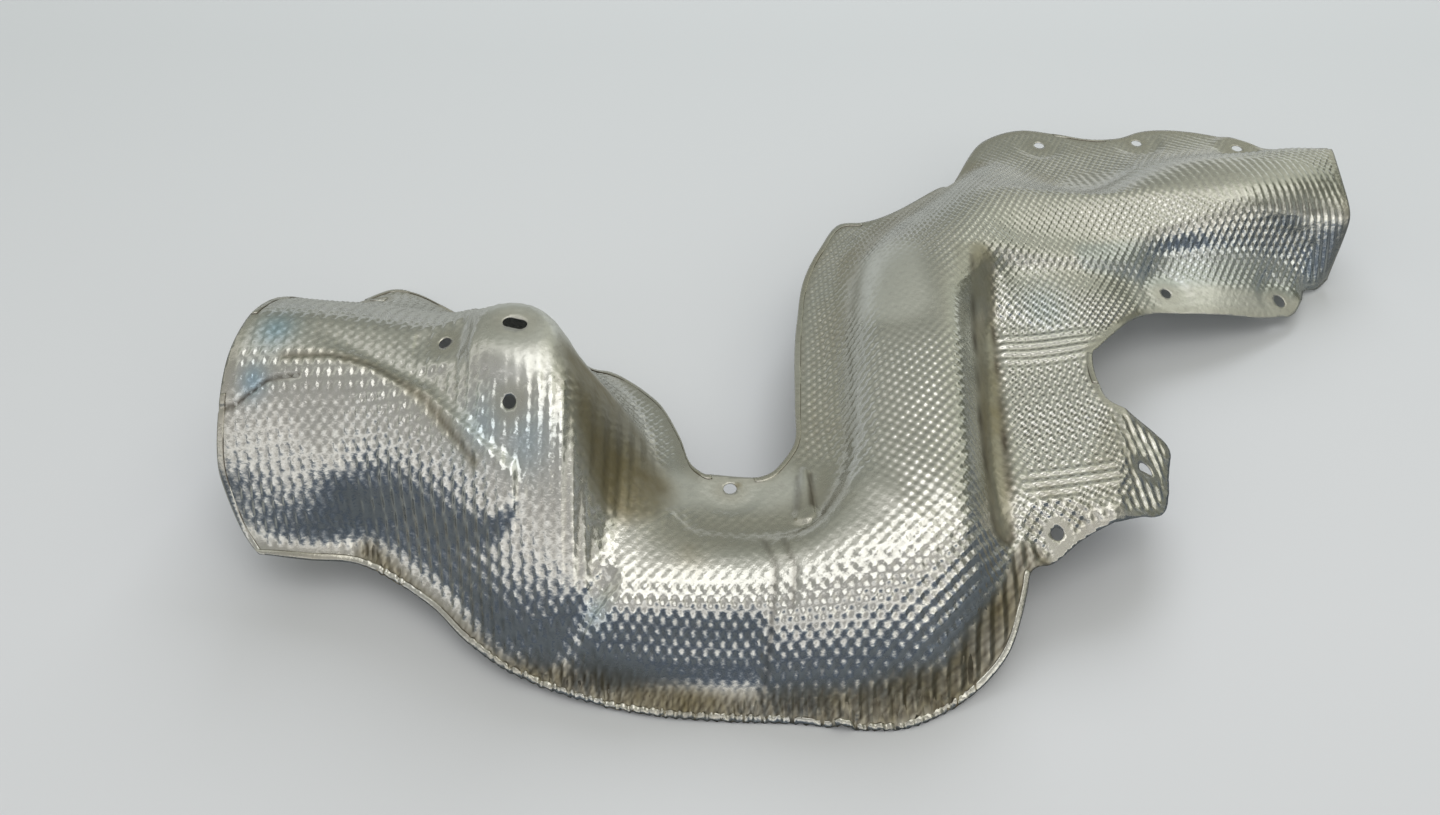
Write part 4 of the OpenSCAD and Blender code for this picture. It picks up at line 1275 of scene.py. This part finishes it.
# Painted shadow in reflections: the metal sees the table darker near the camera.
painted_dark_reflection = ramp(behind, [(0.0, 0.115, 0.138, 0.170), (1.0, 0.45, 0.465, 0.46)])
# Painted shade: the table darkens towards the back.
shade = ramp(y + 0.4, [(0.25, 0.69, 0.705, 0.745), (0.8, 0.60, 0.625, 0.655)])
in_mirror = Value(add(tree, "ShaderNodeLightPath"), "Is Glossy Ray")
paint = {"Base Color": mix_colour(in_mirror, shade, painted_dark_reflection)}
paint.update({"Roughness": 0.6, "Specular IOR Level": 0.2})
fill(tree.nodes["Principled BSDF"], paint)
mesh.materials.append(table_mat)
table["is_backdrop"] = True
print("the table is", 2 * FLOOR, "m wide")

# %% Light
# Colours of the room from the table in front, over the ceiling, to the table behind
ROOM = [
    (0.0, 0.062, 0.080, 0.110), (0.06, 0.095, 0.120, 0.160), (0.10, 0.20, 0.23, 0.275),
    (0.14, 0.52, 0.535, 0.54), (0.175, 1.03, 1.015, 0.98), (0.20, 1.08, 1.06, 1.015),
    (0.235, 0.62, 0.61, 0.585), (0.27, 0.43, 0.425, 0.41), (0.40, 0.39, 0.39, 0.36),
    (0.47, 0.45, 0.455, 0.42), (0.53, 0.76, 0.755, 0.70), (0.58, 0.68, 0.68, 0.62),
    (0.65, 0.43, 0.44, 0.385), (0.76, 0.36, 0.37, 0.32), (0.84, 0.28, 0.29, 0.25),
    (0.885, 0.32, 0.335, 0.30), (0.915, 0.42, 0.435, 0.40), (0.95, 0.60, 0.62, 0.60),
    (1.0, 0.46, 0.48, 0.48),
]
# How much of that light comes from the left, 0, to the right, 1
FROM_RIGHT = [
    (0.0, 1.1, 1.1, 1.1), (0.5, 1.0, 1.0, 1.0), (0.58, 1.0, 1.0, 1.0), (0.69, 1.25, 1.23, 1.19),
    (0.86, 1.72, 1.72, 1.65), (0.905, 0.41, 0.41, 0.35), (0.95, 0.47, 0.48, 0.45),
    (1.0, 0.66, 0.69, 0.70),
]
BACKDROP = (0.64, 0.665, 0.69, 1)
world = bpy.data.worlds.new("room")
bpy.context.scene.world = world
world.use_nodes = True
tree = world.node_tree
x, y, z = split(Value(add(tree, "ShaderNodeTexCoord"), "Generated"))
turn = maths("ARCTAN2", z, y * -1.0)
room = ramp(maths("DIVIDE", turn, math.pi), ROOM)
room = mix_colour(1.0, room, ramp(x * 0.5 + 0.5, FROM_RIGHT), "MULTIPLY")
in_camera = Value(add(tree, "ShaderNodeLightPath"), "Is Camera Ray")
sky = {"Color": mix_colour(in_camera, room, BACKDROP), "Strength": 1.0}
fill(tree.nodes["Background"], sky)


def aimed(obj, place, aim):
    """Puts a lamp or camera in its place, looking at its aim."""
    obj.location = place
    obj.rotation_euler = (Vector(aim) - Vector(place)).to_track_quat("-Z", "Y").to_euler()
    bpy.context.scene.collection.objects.link(obj)
    return obj


def lamp(name, place, size, power, colour):
    """A soft lamp that looks at the part."""
    data = bpy.data.lights.new(name, "AREA")
    data.shape = "RECTANGLE"
    data.size, data.size_y = size
    data.energy = power
    data.color = colour
    return aimed(bpy.data.objects.new(name, data), place, (0, 0, 0))


lamp("softbox", (0.1, -0.4, 1.6), (1.2, 0.9), 4, (1.0, 0.985, 0.95))
window_lamp = lamp("window", (0.25, 2.2, 1.8), (1.9, 1.3), 44, (0.97, 0.985, 1.0))
window_lamp.visible_glossy = False
print("the room has", len(ROOM), "bands of light")

# %% Camera
FOCAL_PX, PICTURE_PX = 1087.8, 1440
eye = (np.array([-60.0, -341.5, 476.9]) - ORIGIN) * MM
aim = (np.array([-60.0, 60.0, 31.0]) - ORIGIN) * MM
data = bpy.data.cameras.new("camera")
data.sensor_width = 36.0
data.lens = data.sensor_width * FOCAL_PX / PICTURE_PX
camera = bpy.data.objects.new("camera", data)
bpy.context.scene.camera = aimed(camera, eye, aim)
bpy.context.scene.view_settings.view_transform = "Standard"
print("the lens is", round(data.lens, 1), "mm")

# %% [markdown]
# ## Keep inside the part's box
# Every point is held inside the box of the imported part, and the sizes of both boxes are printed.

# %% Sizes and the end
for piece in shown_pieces():
    co = np.empty(len(piece.data.vertices) * 3, np.float32)
    piece.data.vertices.foreach_get("co", co)
    co = np.clip(co.reshape(-1, 3), np.array(cad_low, np.float32), np.array(cad_high, np.float32))
    piece.data.vertices.foreach_set("co", co.ravel())
    piece.data.update()
low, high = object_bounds()
print("shown size", [round(v / MM, 1) for v in high - low], "mm")
